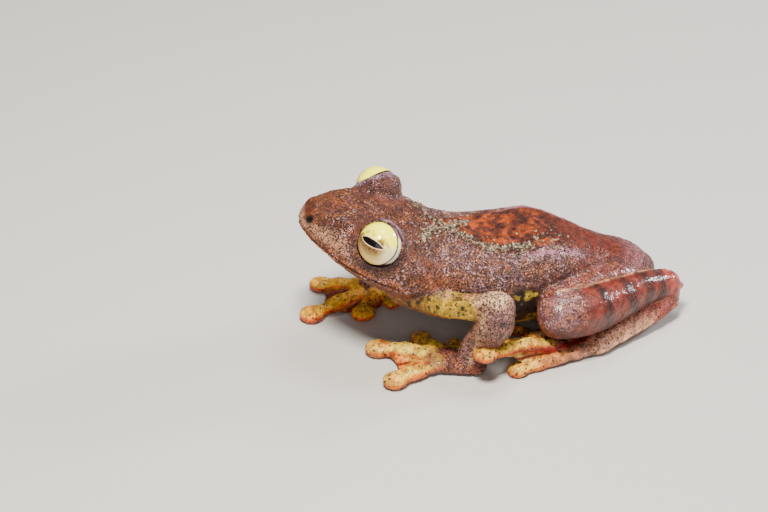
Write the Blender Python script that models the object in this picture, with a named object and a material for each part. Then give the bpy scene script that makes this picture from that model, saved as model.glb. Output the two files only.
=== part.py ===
"""Harlequin tree frog, a still, life-size model sitting on the floor with its hind legs folded.

Metres, +Z up. The head points towards -Y and the frog's left side is +X. The floor is z = 0.
Named sizes are in millimetres, and each mesh is scaled to metres as it is made.
"""

import math

import bmesh
import bpy
import numpy as np
from mathutils import Matrix, Vector

MM = 0.001
GAP = 0.3  # clearance between neighbouring pieces
HALF_GAP = GAP / 2
LEFT, RIGHT = 1, -1
SIDE_NAMES = {LEFT: "left", RIGHT: "right"}

# The middle of the whole figure's outline on the floor becomes the origin.
FLOOR_CENTRE = (-0.31, 4.82)

# Trunk: one smooth loft from the vent to the snout, ring by ring.
TRUNK_SIDES = 28
TRUNK_RINGS = 40
VENT = (0.0, 27.0, 4.9)
# y, height of the widest line, top, bottom, half width, top and bottom power of the section
TORSO_RINGS = (
    (26.7, 5.0, 5.9, 3.9, 1.0, 2.0, 2.0),
    (25.8, 5.1, 7.0, 3.0, 2.2, 2.0, 2.0),
    (24.0, 5.2, 8.2, 2.2, 3.7, 2.0, 2.0),
    (19.5, 6.0, 10.0, 1.3, 5.2, 2.2, 2.0),
    (15.0, 7.4, 12.4, 1.0, 6.4, 2.8, 2.1),
    (11.0, 8.6, 13.9, 1.0, 7.6, 3.0, 2.1),
    (6.5, 9.2, 13.8, 1.4, 8.3, 2.5, 2.1),
    (2.0, 9.8, 14.4, 2.4, 8.3, 2.2, 2.0),
    (-2.0, 11.0, 15.8, 5.1, 8.1, 2.2, 2.0),
)

# Head: its own frame has its origin midway between the eyes.
HEAD_ORIGIN = (0.0, -10.1, 18.4)
HEAD_PITCH = math.radians(20)  # nose up
HEAD_YAW = math.radians(10)  # nose to the frog's right
# forward, height of the widest line, top, bottom, half width, top and bottom power
HEAD_RINGS = (
    (-4.2, -3.9, 1.15, -7.9, 8.2, 2.4, 2.0),
    (-1.2, -3.8, 1.05, -7.3, 8.1, 2.5, 2.0),
    (2.0, -3.8, 1.0, -6.5, 7.1, 2.5, 2.0),
    (5.0, -3.6, 0.75, -5.6, 5.2, 2.4, 2.0),
    (7.3, -3.3, -0.25, -4.8, 3.4, 2.3, 2.0),
    (8.6, -2.9, -1.15, -4.1, 2.0, 2.1, 2.0),
    (9.1, -2.7, -1.75, -3.5, 1.2, 2.0, 2.0),
)
SNOUT_TIP = (9.3, -2.65)  # forward, up
NECK_FORWARD = -7.4  # where the head is parted from the torso
PELVIS_Y = 13.0  # where the pelvis is parted from the torso
MOUTH_HEIGHT = -4.1  # of the mouth line in the head's frame
MOUTH_CORNER = -4.0  # how far forward the corner of the mouth lies
LIP_RADIUS = 0.38
LIP_SINK = 0.2
LIP_RISE = 0.35
NOSTRIL = (1.9, 8.2, -1.95)  # left, forward, up
NOSTRIL_RADIUS = 0.42

# Eyes
EYE_PLACE = (6.1, -0.2, 0.2)  # left, forward, up in the head's frame
EYE_RADIUS = 2.78
EYE_AXIS = (0.84, 0.40, 0.36)  # left, forward, up
LID_THICKNESS = 0.45
LID_PLANE = 0.7  # distance of the lids' rim from the eye's centre along its axis
TYMPANUM = (7.65, -5.3, -2.5)  # left, forward, up
TYMPANUM_RADII = (0.5, 1.2, 1.2)

# Arms: point, half thickness across and half thickness upwards
ARM_SIDES = 12
UPPER_ARM = {
    LEFT: (
        ((5.0, -7.6, 10.0), 1.9, 1.9),
        ((8.6, -4.0, 10.0), 1.65, 1.65),
        ((11.4, 0.2, 10.8), 1.7, 1.7),
        ((12.8, 2.6, 11.3), 2.0, 2.0),
    ),
    RIGHT: (
        ((-5.0, -7.6, 9.2), 2.2, 2.1),
        ((-8.0, -4.4, 8.4), 1.9, 1.9),
        ((-10.6, -0.4, 6.8), 1.8, 1.8),
        ((-11.9, 1.6, 6.0), 2.1, 2.1),
    ),
}
FOREARM = {
    LEFT: (
        ((12.8, 2.6, 11.3), 2.0, 2.0),
        ((12.4, 2.4, 9.0), 2.2, 2.5),
        ((11.3, 1.7, 6.2), 1.8, 2.5),
        ((10.3, 0.4, 3.2), 1.2, 2.1),
        ((10.1, 0.0, 1.7), 1.2, 1.8),
    ),
    RIGHT: (
        ((-11.9, 1.6, 6.0), 2.1, 2.1),
        ((-12.1, -0.2, 5.3), 2.4, 2.4),
        ((-11.6, -3.0, 3.9), 2.2, 2.1),
        ((-10.8, -5.8, 2.4), 1.5, 1.4),
        ((-10.3, -7.2, 1.5), 1.3, 1.2),
    ),
}

# Hand: the palm's heel and front end, then each finger's base, tip, half width and disc radius
WRIST = {LEFT: (10.2, 0.2, 2.3), RIGHT: (-10.5, -6.6, 1.8)}
PALM = {
    LEFT: (((10.4, 0.7, 0.95), 1.7, 1.2), ((8.4, -3.9, 0.9), 2.3, 1.15)),
    RIGHT: (((-10.4, -6.2, 0.95), 1.7, 1.2), ((-8.3, -9.9, 0.9), 2.3, 1.15)),
}
FINGERS = {
    LEFT: (
        ((7.4, -1.9), (5.2, -1.1), 0.80, 1.00),
        ((7.0, -3.0), (3.3, -5.0), 0.95, 1.25),
        ((7.6, -4.6), (4.4, -10.9), 1.25, 1.55),
        ((9.3, -4.4), (11.3, -10.1), 1.25, 1.50),
    ),
    RIGHT: (
        ((-7.6, -7.9), (-5.0, -7.1), 0.80, 1.00),
        ((-7.0, -9.0), (-3.4, -11.2), 1.00, 1.45),
        ((-7.4, -10.8), (-4.5, -17.8), 1.05, 1.50),
        ((-9.2, -10.8), (-10.8, -15.4), 1.05, 1.40),
    ),
}
DIGIT_SIDES = 8
DIGIT_FLATNESS = 0.84  # a digit's thickness as a share of its width
DISC_FLATNESS = 0.62
SINK = 0.1  # how much of each digit the floor cuts off as a flat
WEB_THICKNESS = 0.5
WEB_DROP = 0.1  # how far the webs lie below the digits' middle lines

# Hind legs. The right one is folded a little further forward and lies lower.
LEG_SIDES = 14
THIGH = {
    LEFT: (
        ((2.4, 22.8, 5.0), 2.0, 2.0),
        ((4.2, 19.9, 6.1), 2.9, 2.7),
        ((6.6, 15.4, 7.1), 3.1, 2.9),
        ((8.8, 11.6, 7.5), 2.7, 2.6),
    ),
    RIGHT: (
        ((-1.9, 22.8, 5.2), 2.4, 2.2),
        ((-3.9, 18.9, 5.5), 2.9, 2.7),
        ((-6.9, 14.2, 5.7), 3.0, 2.8),
        ((-9.5, 10.9, 5.6), 2.6, 2.5),
    ),
}
SHANK = {
    LEFT: (
        ((10.2, 11.4, 6.8), 2.9, 3.0),
        ((9.7, 14.6, 6.7), 3.1, 3.2),
        ((8.0, 18.9, 6.4), 2.8, 2.9),
        ((5.9, 23.9, 6.2), 2.1, 2.3),
        ((4.4, 27.3, 5.3), 1.8, 1.9),
    ),
    RIGHT: (
        ((-10.9, 10.5, 5.0), 2.8, 2.8),
        ((-10.0, 13.4, 4.6), 3.1, 3.0),
        ((-7.4, 18.6, 4.0), 2.8, 2.8),
        ((-4.9, 22.8, 3.6), 2.3, 2.4),
        ((-3.4, 25.2, 3.2), 1.9, 2.0),
    ),
}
TARSUS = {
    LEFT: (
        ((4.4, 27.5, 3.1), 1.6, 1.9),
        ((6.2, 24.4, 2.4), 1.5, 1.9),
        ((8.2, 19.9, 1.6), 1.5, 1.45),
        ((9.3, 16.4, 1.2), 1.8, 1.15),
    ),
    RIGHT: (
        ((-3.6, 25.3, 2.0), 1.6, 1.6),
        ((-6.2, 21.8, 1.3), 1.5, 1.2),
        ((-9.2, 17.8, 1.2), 1.5, 1.1),
        ((-11.2, 14.2, 1.2), 1.7, 1.1),
    ),
}
ANKLE = {LEFT: (9.0, 17.6, 1.2), RIGHT: (-10.8, 14.9, 1.2)}
SOLE = {
    LEFT: (((9.2, 17.4, 0.85), 1.7, 1.05), ((9.4, 13.6, 0.8), 2.1, 1.0)),
    RIGHT: (((-11.0, 14.7, 0.85), 1.7, 1.05), ((-11.2, 10.8, 0.8), 2.1, 1.0)),
}
TOES = {
    LEFT: (
        ((8.0, 15.6), (4.4, 11.8), 0.65, 0.85, 0.0),
        ((8.2, 14.4), (4.0, 7.6), 0.70, 0.95, 0.0),
        ((8.6, 13.4), (6.0, 4.8), 0.75, 1.05, 0.0),
        ((9.6, 13.0), (13.1, 1.1), 0.95, 1.45, 3.7),
        ((10.6, 13.6), (12.3, 5.6), 1.00, 1.25, 0.0),
    ),
    RIGHT: (
        ((-9.8, 12.8), (-6.0, 9.4), 0.65, 0.85, 0.0),
        ((-10.0, 11.6), (-6.2, 4.8), 0.70, 0.95, 0.0),
        ((-10.4, 10.6), (-8.2, 1.8), 0.75, 1.05, 0.0),
        ((-11.2, 10.2), (-11.2, 0.2), 0.85, 1.25, 0.0),
        ((-12.4, 10.8), (-14.2, 2.7), 0.85, 1.20, 0.0),
    ),
}
RESTING_TOE = 3  # the left foot's fourth toe lies on the wrist
CALCAR = {  # the small spur on each heel
    LEFT: ((4.0, 28.7, 4.3), (3.9, 29.4, 4.4)),
    RIGHT: ((-3.0, 26.5, 3.4), (-2.6, 27.4, 3.6)),
}
CALCAR_RADII = (0.7, 0.4)

COLOURS = {
    "back": ((0.33, 0.12, 0.07), 0.42),
    "jaw": ((0.45, 0.25, 0.12), 0.45),
    "limb": ((0.40, 0.19, 0.13), 0.40),
    "hand": ((0.80, 0.42, 0.12), 0.40),
    "eye": ((0.85, 0.80, 0.45), 0.08),
}


def clear_scene():
    for obj in list(bpy.data.objects):
        bpy.data.objects.remove(obj)


def make_materials():
    made = {}
    for name, (colour, roughness) in COLOURS.items():
        material = bpy.data.materials.new(name)
        material.use_nodes = True
        shader = material.node_tree.nodes["Principled BSDF"]
        shader.inputs["Base Color"].default_value = (*colour, 1.0)
        shader.inputs["Roughness"].default_value = roughness
        shader.inputs["Metallic"].default_value = 0.0
        made[name] = material
    return made


def mesh_object(name, points, faces):
    """A mesh object from points in the working frame, in millimetres."""
    shift = np.array((*FLOOR_CENTRE, 0.0))
    mesh = bpy.data.meshes.new(name)
    mesh.from_pydata(((np.asarray(points) - shift) * MM).tolist(), [], faces)
    obj = bpy.data.objects.new(name, mesh)
    bpy.context.scene.collection.objects.link(obj)
    return obj


def in_row(point):
    """A point of the working frame as a vector in metres in the row's frame."""
    return (Vector(point) - Vector((*FLOOR_CENTRE, 0.0))) * MM


def smooth_rings(rings, count):
    """Rings on a smooth curve through the given rings, spread evenly along it."""
    rings = np.asarray(rings, float)
    centres = rings.mean(axis=1)
    along = np.concatenate([[0], np.cumsum(np.linalg.norm(np.diff(centres, axis=0), axis=1))])
    slope = np.gradient(rings, along, axis=0)
    made = []
    for s in np.linspace(0, along[-1], count):
        k = min(np.searchsorted(along, s, side="right") - 1, len(along) - 2)
        step = along[k + 1] - along[k]
        t = (s - along[k]) / step
        ends = (2 * t**3 - 3 * t**2 + 1) * rings[k] + (3 * t**2 - 2 * t**3) * rings[k + 1]
        bends = (t**3 - 2 * t**2 + t) * slope[k] + (t**3 - t**2) * slope[k + 1]
        made.append(ends + step * bends)
    return np.array(made)


def loft(name, rings, first_pole, last_pole):
    """A closed skin through rings of equal count, ending in a pole at each end."""
    count = len(rings[0])
    points = [*np.concatenate(rings), first_pole, last_pole]
    first, last = len(points) - 2, len(points) - 1
    faces = []
    for k in range(count):
        after = (k + 1) % count
        faces.append((first, after, k))
        top = (len(rings) - 1) * count
        faces.append((last, top + k, top + after))
        for r in range(len(rings) - 1):
            low, high = r * count, (r + 1) * count
            faces.append((low + k, low + after, high + after, high + k))
    obj = mesh_object(name, points, faces)
    face_out(obj)
    return obj


def face_out(obj):
    body = bmesh.new()
    body.from_mesh(obj.data)
    bmesh.ops.recalc_face_normals(body, faces=body.faces)
    body.to_mesh(obj.data)
    body.free()


def section(half_width, top, bottom, top_power, bottom_power, sides):
    """Across and upward offsets round a superellipse whose widest line is at height 0."""
    made = []
    for k in range(sides):
        turn = 2 * math.pi * k / sides
        c, s = math.cos(turn), math.sin(turn)
        power = 2 / (top_power if s > 0 else bottom_power)
        reach = top if s > 0 else bottom
        made.append(
            (
                math.copysign(abs(c) ** power, c) * half_width,
                math.copysign(abs(s) ** power, s) * reach,
            )
        )
    return np.array(made)


def head_matrix():
    turn = Matrix.Rotation(-HEAD_YAW, 4, "Z") @ Matrix.Rotation(-HEAD_PITCH, 4, "X")
    return Matrix.Translation(HEAD_ORIGIN) @ turn


def head_point(left, forward, up):
    """A point of the head's frame in the working frame."""
    return head_matrix() @ Vector((left, -forward, up))


def head_direction(left, forward, up):
    return (head_matrix().to_3x3() @ Vector((left, -forward, up))).normalized()


def trunk(name, grow=0.0):
    """The whole head and body as one loft, grown outwards by the given amount."""
    vent, snout = Vector(VENT), head_point(0, *SNOUT_TIP)
    rings = [[vent + Vector((0, grow, 0))] * TRUNK_SIDES]
    for y, wide, top, bottom, half, top_power, bottom_power in TORSO_RINGS:
        flat = section(
            half + grow, top - wide + grow, wide - bottom + grow, top_power, bottom_power, TRUNK_SIDES
        )
        rings.append([(a, y, wide + b) for a, b in flat])
    for forward, wide, top, bottom, half, top_power, bottom_power in HEAD_RINGS:
        flat = section(
            half + grow, top - wide + grow, wide - bottom + grow, top_power, bottom_power, TRUNK_SIDES
        )
        rings.append([head_point(a, forward, wide + b) for a, b in flat])
    rings.append([snout + head_direction(0, 1, 0) * grow] * TRUNK_SIDES)
    smooth = smooth_rings([[tuple(p) for p in ring] for ring in rings], TRUNK_RINGS)
    return loft(name, smooth[1:-1], smooth[0].mean(axis=0), smooth[-1].mean(axis=0))


def limb(name, path, sides, grow=0.0, count=10, round_rings=3):
    """A limb with round ends: a tube of elliptic rings along a smooth curve through the path."""
    centres = np.array([point for point, _, _ in path], float)
    sizes = np.array([(across, upward, 0) for _, across, upward in path], float) + grow
    pairs = smooth_rings(np.stack([centres, centres + sizes], axis=1), count)
    centres, sizes = pairs[:, 0], pairs[:, 1] - pairs[:, 0]
    ahead = np.gradient(centres, axis=0)
    ahead /= np.linalg.norm(ahead, axis=1)[:, None]
    side = np.cross(ahead[0], (0, 0, 1))
    if np.linalg.norm(side) < 0.3:
        side = np.cross(ahead[0], (0, 1, 0))
    turns = np.arange(sides) * 2 * math.pi / sides

    def ring(centre, direction, a, b):
        nonlocal side
        side = side - direction * np.dot(side, direction)
        side /= np.linalg.norm(side)
        up = np.cross(side, direction)
        return centre + a * np.outer(np.cos(turns), side) + b * np.outer(np.sin(turns), up)

    def end_cap(centre, direction, across, upward, sign):
        reach = min(across, upward)
        found = []
        for k in range(1, round_rings + 1):
            lean = 0.5 * math.pi * k / (round_rings + 0.6)
            shifted = centre + direction * sign * reach * math.sin(lean)
            shrink = math.cos(lean)
            found.append(ring(shifted, direction, across * shrink, upward * shrink))
        return found, centre + direction * sign * reach

    start, start_pole = end_cap(centres[0], ahead[0], sizes[0, 0], sizes[0, 1], -1)
    rings = start[::-1]
    for centre, direction, size in zip(centres, ahead, sizes):
        rings.append(ring(centre, direction, size[0], size[1]))
    end, end_pole = end_cap(centres[-1], ahead[-1], sizes[-1, 0], sizes[-1, 1], 1)
    return loft(name, [*rings, *end], start_pole, end_pole)


def ball(name, centre, radii, sides=14, rings=9):
    """An ellipsoid with its poles up and down."""
    levels = [math.pi * k / rings - math.pi / 2 for k in range(1, rings)]
    turns = [2 * math.pi * k / sides for k in range(sides)]
    cx, cy, cz = centre
    a, b, c = radii
    made = [
        [
            (
                cx + a * math.cos(v) * math.cos(t),
                cy + b * math.cos(v) * math.sin(t),
                cz + c * math.sin(v),
            )
            for t in turns
        ]
        for v in levels
    ]
    return loft(name, made, (cx, cy, cz - c), (cx, cy, cz + c))


def apply_modifiers(obj):
    graph = bpy.context.evaluated_depsgraph_get()
    mesh = bpy.data.meshes.new_from_object(obj.evaluated_get(graph))
    obj.modifiers.clear()
    obj.data = mesh


def boolean(obj, cutter, operation):
    modifier = obj.modifiers.new("join", "BOOLEAN")
    modifier.operation = operation
    modifier.solver = "EXACT"
    modifier.object = cutter
    apply_modifiers(obj)
    bpy.data.objects.remove(cutter)


def union(obj, pieces):
    group = bpy.data.collections.new("pieces")
    bpy.context.scene.collection.children.link(group)
    for piece in pieces:
        bpy.context.scene.collection.objects.unlink(piece)
        group.objects.link(piece)
    modifier = obj.modifiers.new("union", "BOOLEAN")
    modifier.operation = "UNION"
    modifier.solver = "EXACT"
    modifier.operand_type = "COLLECTION"
    modifier.collection = group
    modifier.use_self = True
    apply_modifiers(obj)
    for piece in pieces:
        bpy.data.objects.remove(piece)
    bpy.data.collections.remove(group)


def trim(obj, point, normal):
    """Cuts away what lies on the normal's side of a plane and closes the cut with a flat face."""
    body = bmesh.new()
    body.from_mesh(obj.data)
    everything = body.verts[:] + body.edges[:] + body.faces[:]
    cut = bmesh.ops.bisect_plane(
        body, geom=everything, dist=1e-8, plane_co=in_row(point), plane_no=normal, clear_outer=True
    )
    rim = [item for item in cut["geom_cut"] if isinstance(item, bmesh.types.BMEdge)]
    if rim:
        bmesh.ops.triangle_fill(body, edges=rim, use_beauty=True)
    bmesh.ops.recalc_face_normals(body, faces=body.faces)
    body.to_mesh(obj.data)
    body.free()


def part_by_plane(first, second, point, normal):
    """Two pieces that meet at a plane: first keeps the side behind it and second the side ahead."""
    normal = Vector(normal).normalized()
    trim(first, Vector(point) - normal * HALF_GAP, normal)
    trim(second, Vector(point) + normal * HALF_GAP, -normal)


def keep_largest(obj):
    """Drops every loose scrap but the largest closed surface."""
    body = bmesh.new()
    body.from_mesh(obj.data)
    unseen, islands = set(body.verts), []
    while unseen:
        stack, island = [unseen.pop()], []
        while stack:
            vert = stack.pop()
            island.append(vert)
            for edge in vert.link_edges:
                other = edge.other_vert(vert)
                if other in unseen:
                    unseen.remove(other)
                    stack.append(other)
        islands.append(island)
    islands.sort(key=len)
    for island in islands[:-1]:
        bmesh.ops.delete(body, geom=island, context="VERTS")
    body.to_mesh(obj.data)
    body.free()


def copy_of(obj, name):
    twin = bpy.data.objects.new(name, obj.data.copy())
    bpy.context.scene.collection.objects.link(twin)
    return twin


def make_trunk():
    """Head, lower jaw, torso and pelvis, cut from one loft by thin planes."""
    head = trunk("head")
    torso = copy_of(head, "torso")
    pelvis = copy_of(head, "pelvis")
    part_by_plane(torso, head, head_point(0, NECK_FORWARD, 0), head_direction(0, 1, 0))
    part_by_plane(pelvis, torso, (0, PELVIS_Y, 0), (0, -1, 0))
    jaw = copy_of(head, "lower_jaw")
    mouth, up = head_point(0, 0, MOUTH_HEIGHT), head_direction(0, 0, 1)
    corner = head_point(0, MOUTH_CORNER, MOUTH_HEIGHT)
    back = head_direction(0, -1, 0)
    trim(jaw, corner - back * HALF_GAP, back)
    for piece, height in ((head, MOUTH_HEIGHT + LIP_RISE), (jaw, MOUTH_HEIGHT - LIP_RISE)):
        boolean(piece, make_lip(height), "UNION")
    boolean(head, jaw_room(), "DIFFERENCE")
    trim(jaw, mouth - up * HALF_GAP, up)
    add_eyes(head)
    for side in (LEFT, RIGHT):
        left, forward, up = NOSTRIL
        pit = ball("pit", head_point(side * left, forward, up), (NOSTRIL_RADIUS,) * 3, 8, 6)
        boolean(head, pit, "DIFFERENCE")
        drum = ball("drum", head_point(side * TYMPANUM[0], *TYMPANUM[1:]), TYMPANUM_RADII, 12, 8)
        boolean(head, drum, "UNION")
    neck, rump = head_point(0, NECK_FORWARD, 0), (0, PELVIS_Y, 0)
    finish(head, MATERIALS["back"], HEAD_ORIGIN)
    finish(jaw, MATERIALS["jaw"], corner)
    finish(torso, MATERIALS["back"], neck)
    finish(pelvis, MATERIALS["back"], rump)


def jaw_room():
    """The block taken out of the head for the lower jaw: below the mouth, ahead of its corner."""
    wide, ahead, deep = 15.0, 30.0, 14.0
    back, top = MOUTH_CORNER - HALF_GAP, MOUTH_HEIGHT + HALF_GAP
    outline = ((back, top), (ahead, top), (ahead, top - deep), (back, top - deep))
    points = [head_point(x, f, u) for x in (-wide, wide) for f, u in outline]
    faces = [(0, 1, 2, 3), (7, 6, 5, 4), (0, 4, 5, 1), (1, 5, 6, 2), (2, 6, 7, 3), (3, 7, 4, 0)]
    room = mesh_object("room", points, faces)
    face_out(room)
    return room


def make_lip(height):
    """A low bead round the jaw at the given height, from one corner of the mouth to the other."""
    rings = np.array(HEAD_RINGS)
    forwards = np.linspace(MOUTH_CORNER + 0.6, rings[-1, 0] - 0.2, 9)
    path = []
    for forward in forwards:
        row = [np.interp(forward, rings[:, 0], column) for column in rings.T]
        wide, top, bottom, half, top_power, bottom_power = row[1:]
        reach, power = (top - wide, top_power) if height > wide else (wide - bottom, bottom_power)
        share = min(abs(height - wide) / reach, 0.97)
        path.append((half * (1 - share**power) ** (1 / power) - LIP_SINK, forward))
    sides = [(x, forward) for x, forward in path]
    sides += [(-x, forward) for x, forward in reversed(path)]
    bead = [(tuple(head_point(x, f, height)), LIP_RADIUS, LIP_RADIUS) for x, f in sides]
    return limb("lip", bead, 6, count=26, round_rings=2)


def add_eyes(head):
    """Orbits with lids on the head, and a ball in each."""
    for side in (LEFT, RIGHT):
        place = head_point(side * EYE_PLACE[0], *EYE_PLACE[1:])
        axis = head_direction(side * EYE_AXIS[0], *EYE_AXIS[1:])
        outer = EYE_RADIUS + GAP + LID_THICKNESS
        orbit = ball("orbit", place, (outer,) * 3, 20, 14)
        trim(orbit, place + axis * LID_PLANE, axis)
        boolean(head, orbit, "UNION")
        socket = ball("socket", place, (EYE_RADIUS + GAP,) * 3, 20, 14)
        boolean(head, socket, "DIFFERENCE")
        eye = ball(f"eye_{SIDE_NAMES[side]}", place, (EYE_RADIUS,) * 3, 24, 16)
        finish(eye, MATERIALS["eye"], place)


def finish(obj, material, pivot):
    """Gives a piece its look and its origin at the pivot, and hangs it under the figure's empty."""
    keep_largest(obj)
    place = in_row(pivot)
    obj.data.transform(Matrix.Translation(-place))
    obj.location = place
    obj.parent = FIGURE
    obj.data.materials.clear()
    obj.data.materials.append(material)
    obj.data.shade_smooth()
    obj.data.set_sharp_from_angle(angle=math.radians(40))


def make_arm(side):
    """Upper arm, forearm and hand, parted at the elbow and at the wrist."""
    name = SIDE_NAMES[side]
    upper = limb(f"upper_arm_{name}", UPPER_ARM[side], ARM_SIDES)
    lower = limb(f"forearm_{name}", FOREARM[side], ARM_SIDES)
    elbow = Vector(FOREARM[side][0][0])
    inward = (Vector(UPPER_ARM[side][-2][0]) - elbow).normalized()
    downward = (Vector(FOREARM[side][1][0]) - elbow).normalized()
    part_by_plane(upper, lower, elbow, downward - inward)
    boolean(upper, trunk("grown", GAP), "DIFFERENCE")
    boolean(lower, trunk("grown", GAP), "DIFFERENCE")
    hand = make_paw(f"hand_{name}", PALM[side], [(*finger, 0.0) for finger in FINGERS[side]])
    wrist_direction = Vector(FOREARM[side][-1][0]) - Vector(FOREARM[side][-2][0])
    part_by_plane(lower, hand, WRIST[side], wrist_direction)
    if side == LEFT:
        for piece in (lower, hand):
            toe = make_digit(TOES[LEFT][RESTING_TOE], GAP)
            boolean(piece, toe, "DIFFERENCE")
    finish(upper, MATERIALS["limb"], UPPER_ARM[side][0][0])
    finish(lower, MATERIALS["limb"], elbow)
    finish(hand, MATERIALS["hand"], WRIST[side])


def digit_path(digit, grow=0.0):
    """A digit that leaves the palm a little raised and lies flat at its tip, or is lifted."""
    base, tip, radius, _, lift = digit
    thick = DIGIT_FLATNESS * radius
    start = np.array((*base, thick + 0.15))
    end = np.array((*tip, 0.85 * thick - SINK + lift))
    middle = (start + end) / 2 + np.array((0, 0, 0.1 + 0.3 * lift))
    return [
        (tuple(start), radius * 1.1 + grow, thick + grow),
        (tuple(middle), radius + grow, thick + grow),
        (tuple(end), radius * 0.95 + grow, 0.85 * thick + grow),
    ]


def make_digit(digit, grow=0.0):
    """One digit with its disc."""
    _, tip, _, disc, lift = digit
    made = limb("digit", digit_path(digit, grow), DIGIT_SIDES, count=4, round_rings=2)
    thick = DISC_FLATNESS * disc
    centre = (*tip, thick - SINK + lift)
    pad = ball("disc", centre, (disc + grow, disc * 1.1 + grow, thick + grow), 10, 6)
    boolean(made, pad, "UNION")
    return made


def make_web(name, first, second, reach=0.9, notch=0.12, rows=5, columns=3):
    """A thin sheet between two digits, with a slightly hollow front margin."""
    starts = [np.array(path[0][0]) for path in (first, second)]
    ends = [np.array(path[-1][0]) for path in (first, second)]
    middle = np.empty((rows + 1, columns + 1, 3))
    for i in range(rows + 1):
        for j in range(columns + 1):
            across = j / columns
            far = reach * (1 - notch * 4 * across * (1 - across)) * i / rows
            a = starts[0] + (ends[0] - starts[0]) * far
            b = starts[1] + (ends[1] - starts[1]) * far
            middle[i, j] = a + (b - a) * across
    middle[..., 2] -= WEB_DROP
    ahead, sideways = np.gradient(middle, axis=(0, 1))
    offset = np.cross(sideways, ahead)
    offset *= WEB_THICKNESS / 2 / np.linalg.norm(offset, axis=2)[..., None]
    points = np.concatenate([middle + offset, middle - offset]).reshape(-1, 3)
    width, layer = columns + 1, (rows + 1) * (columns + 1)
    faces = []
    for i in range(rows):
        for j in range(columns):
            a, b = i * width + j, i * width + j + 1
            c, d = b + width, a + width
            faces += [(a, b, c), (a, c, d)]
            faces += [(layer + a, layer + c, layer + b), (layer + a, layer + d, layer + c)]
    rim = [j for j in range(width)]
    rim += [i * width + columns for i in range(1, rows + 1)]
    rim += [rows * width + j for j in range(columns - 1, -1, -1)]
    rim += [i * width for i in range(rows - 1, 0, -1)]
    for k, a in enumerate(rim):
        b = rim[(k + 1) % len(rim)]
        faces += [(a, layer + a, b), (b, layer + a, layer + b)]
    web = mesh_object(name, points, faces)
    face_out(web)
    return web


def make_paw(name, pad, digits):
    """A hand or foot: pad, digits with discs, and the webs between them, fused into one body."""
    paw = limb(name, pad, 14, count=4)
    pieces = [make_digit(digit) for digit in digits]
    paths = [digit_path(digit) for digit in digits]
    for first, second in zip(paths, paths[1:]):
        pieces.append(make_web("web", first, second))
    union(paw, pieces)
    trim(paw, (0, 0, 0), (0, 0, -1))
    return paw


def make_leg(side):
    """Thigh, shank, tarsus and foot of a folded leg."""
    name = SIDE_NAMES[side]
    thigh = limb(f"thigh_{name}", THIGH[side], LEG_SIDES)
    shank = limb(f"shank_{name}", SHANK[side], LEG_SIDES, count=12)
    tarsus = limb(f"tarsus_{name}", TARSUS[side], ARM_SIDES, count=8)
    spur = [(point, radius, radius) for point, radius in zip(CALCAR[side], CALCAR_RADII)]
    boolean(shank, limb("spur", spur, 8, count=3, round_rings=2), "UNION")
    part_at_fold(thigh, shank, THIGH[side][::-1], SHANK[side])
    part_at_fold(shank, tarsus, SHANK[side][::-1], TARSUS[side])
    for piece in (thigh, shank, tarsus):
        boolean(piece, trunk("grown", GAP), "DIFFERENCE")
    foot = make_paw(f"foot_{name}", SOLE[side], TOES[side])
    along = Vector(TARSUS[side][-1][0]) - Vector(TARSUS[side][-2][0])
    part_by_plane(tarsus, foot, ANKLE[side], along)
    boolean(foot, limb("grown", SHANK[side], LEG_SIDES, GAP, count=12), "DIFFERENCE")
    trim(tarsus, (0, 0, 0), (0, 0, -1))
    finish(thigh, MATERIALS["limb"], THIGH[side][0][0])
    finish(shank, MATERIALS["limb"], SHANK[side][0][0])
    finish(tarsus, MATERIALS["limb"], TARSUS[side][0][0])
    finish(foot, MATERIALS["hand"], ANKLE[side])


def part_at_fold(first, second, first_path, second_path):
    """Parts two folded bones by the plane that runs lengthwise between them."""
    near = (Vector(first_path[0][0]) + Vector(second_path[0][0])) / 2
    far = (Vector(first_path[1][0]) + Vector(second_path[1][0])) / 2
    across = Vector(second_path[1][0]) - Vector(first_path[1][0])
    along = (far - near).normalized()
    part_by_plane(first, second, near, across - along * across.dot(along))


clear_scene()
MATERIALS = make_materials()
FIGURE = bpy.data.objects.new("figure", None)
bpy.context.scene.collection.objects.link(FIGURE)
make_trunk()
for side in (LEFT, RIGHT):
    make_arm(side)
    make_leg(side)
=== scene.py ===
"""The look of the harlequin tree frog: one skin, two eyes and grains of sand, in soft studio light.

Shapes are worked out in the frog's own frame: millimetres, head towards -Y, left side +X, floor at z = 0.
The skin is one surface through a field of distances that is joined, cut and pressed part by part.
"""

import math

import bmesh
import bpy
import numpy as np
import openvdb
from mathutils import Matrix, Vector
from mathutils.kdtree import KDTree


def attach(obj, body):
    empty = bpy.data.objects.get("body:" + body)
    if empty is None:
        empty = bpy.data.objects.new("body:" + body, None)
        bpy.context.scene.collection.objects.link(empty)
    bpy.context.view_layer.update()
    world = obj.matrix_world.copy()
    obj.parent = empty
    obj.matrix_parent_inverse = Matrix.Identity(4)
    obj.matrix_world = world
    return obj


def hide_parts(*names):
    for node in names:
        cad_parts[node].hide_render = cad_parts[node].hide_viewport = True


MM = 0.001
LEFT, RIGHT = 1, -1
SIDES = (LEFT, RIGHT)
SIDE_NAMES = {LEFT: "left", RIGHT: "right"}
FLOOR_CENTRE = (-0.31, 4.82)  # the frog's middle on the floor, which is the row's origin

TRUNK_SIDES = 96
TRUNK_RINGS = 140
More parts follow.
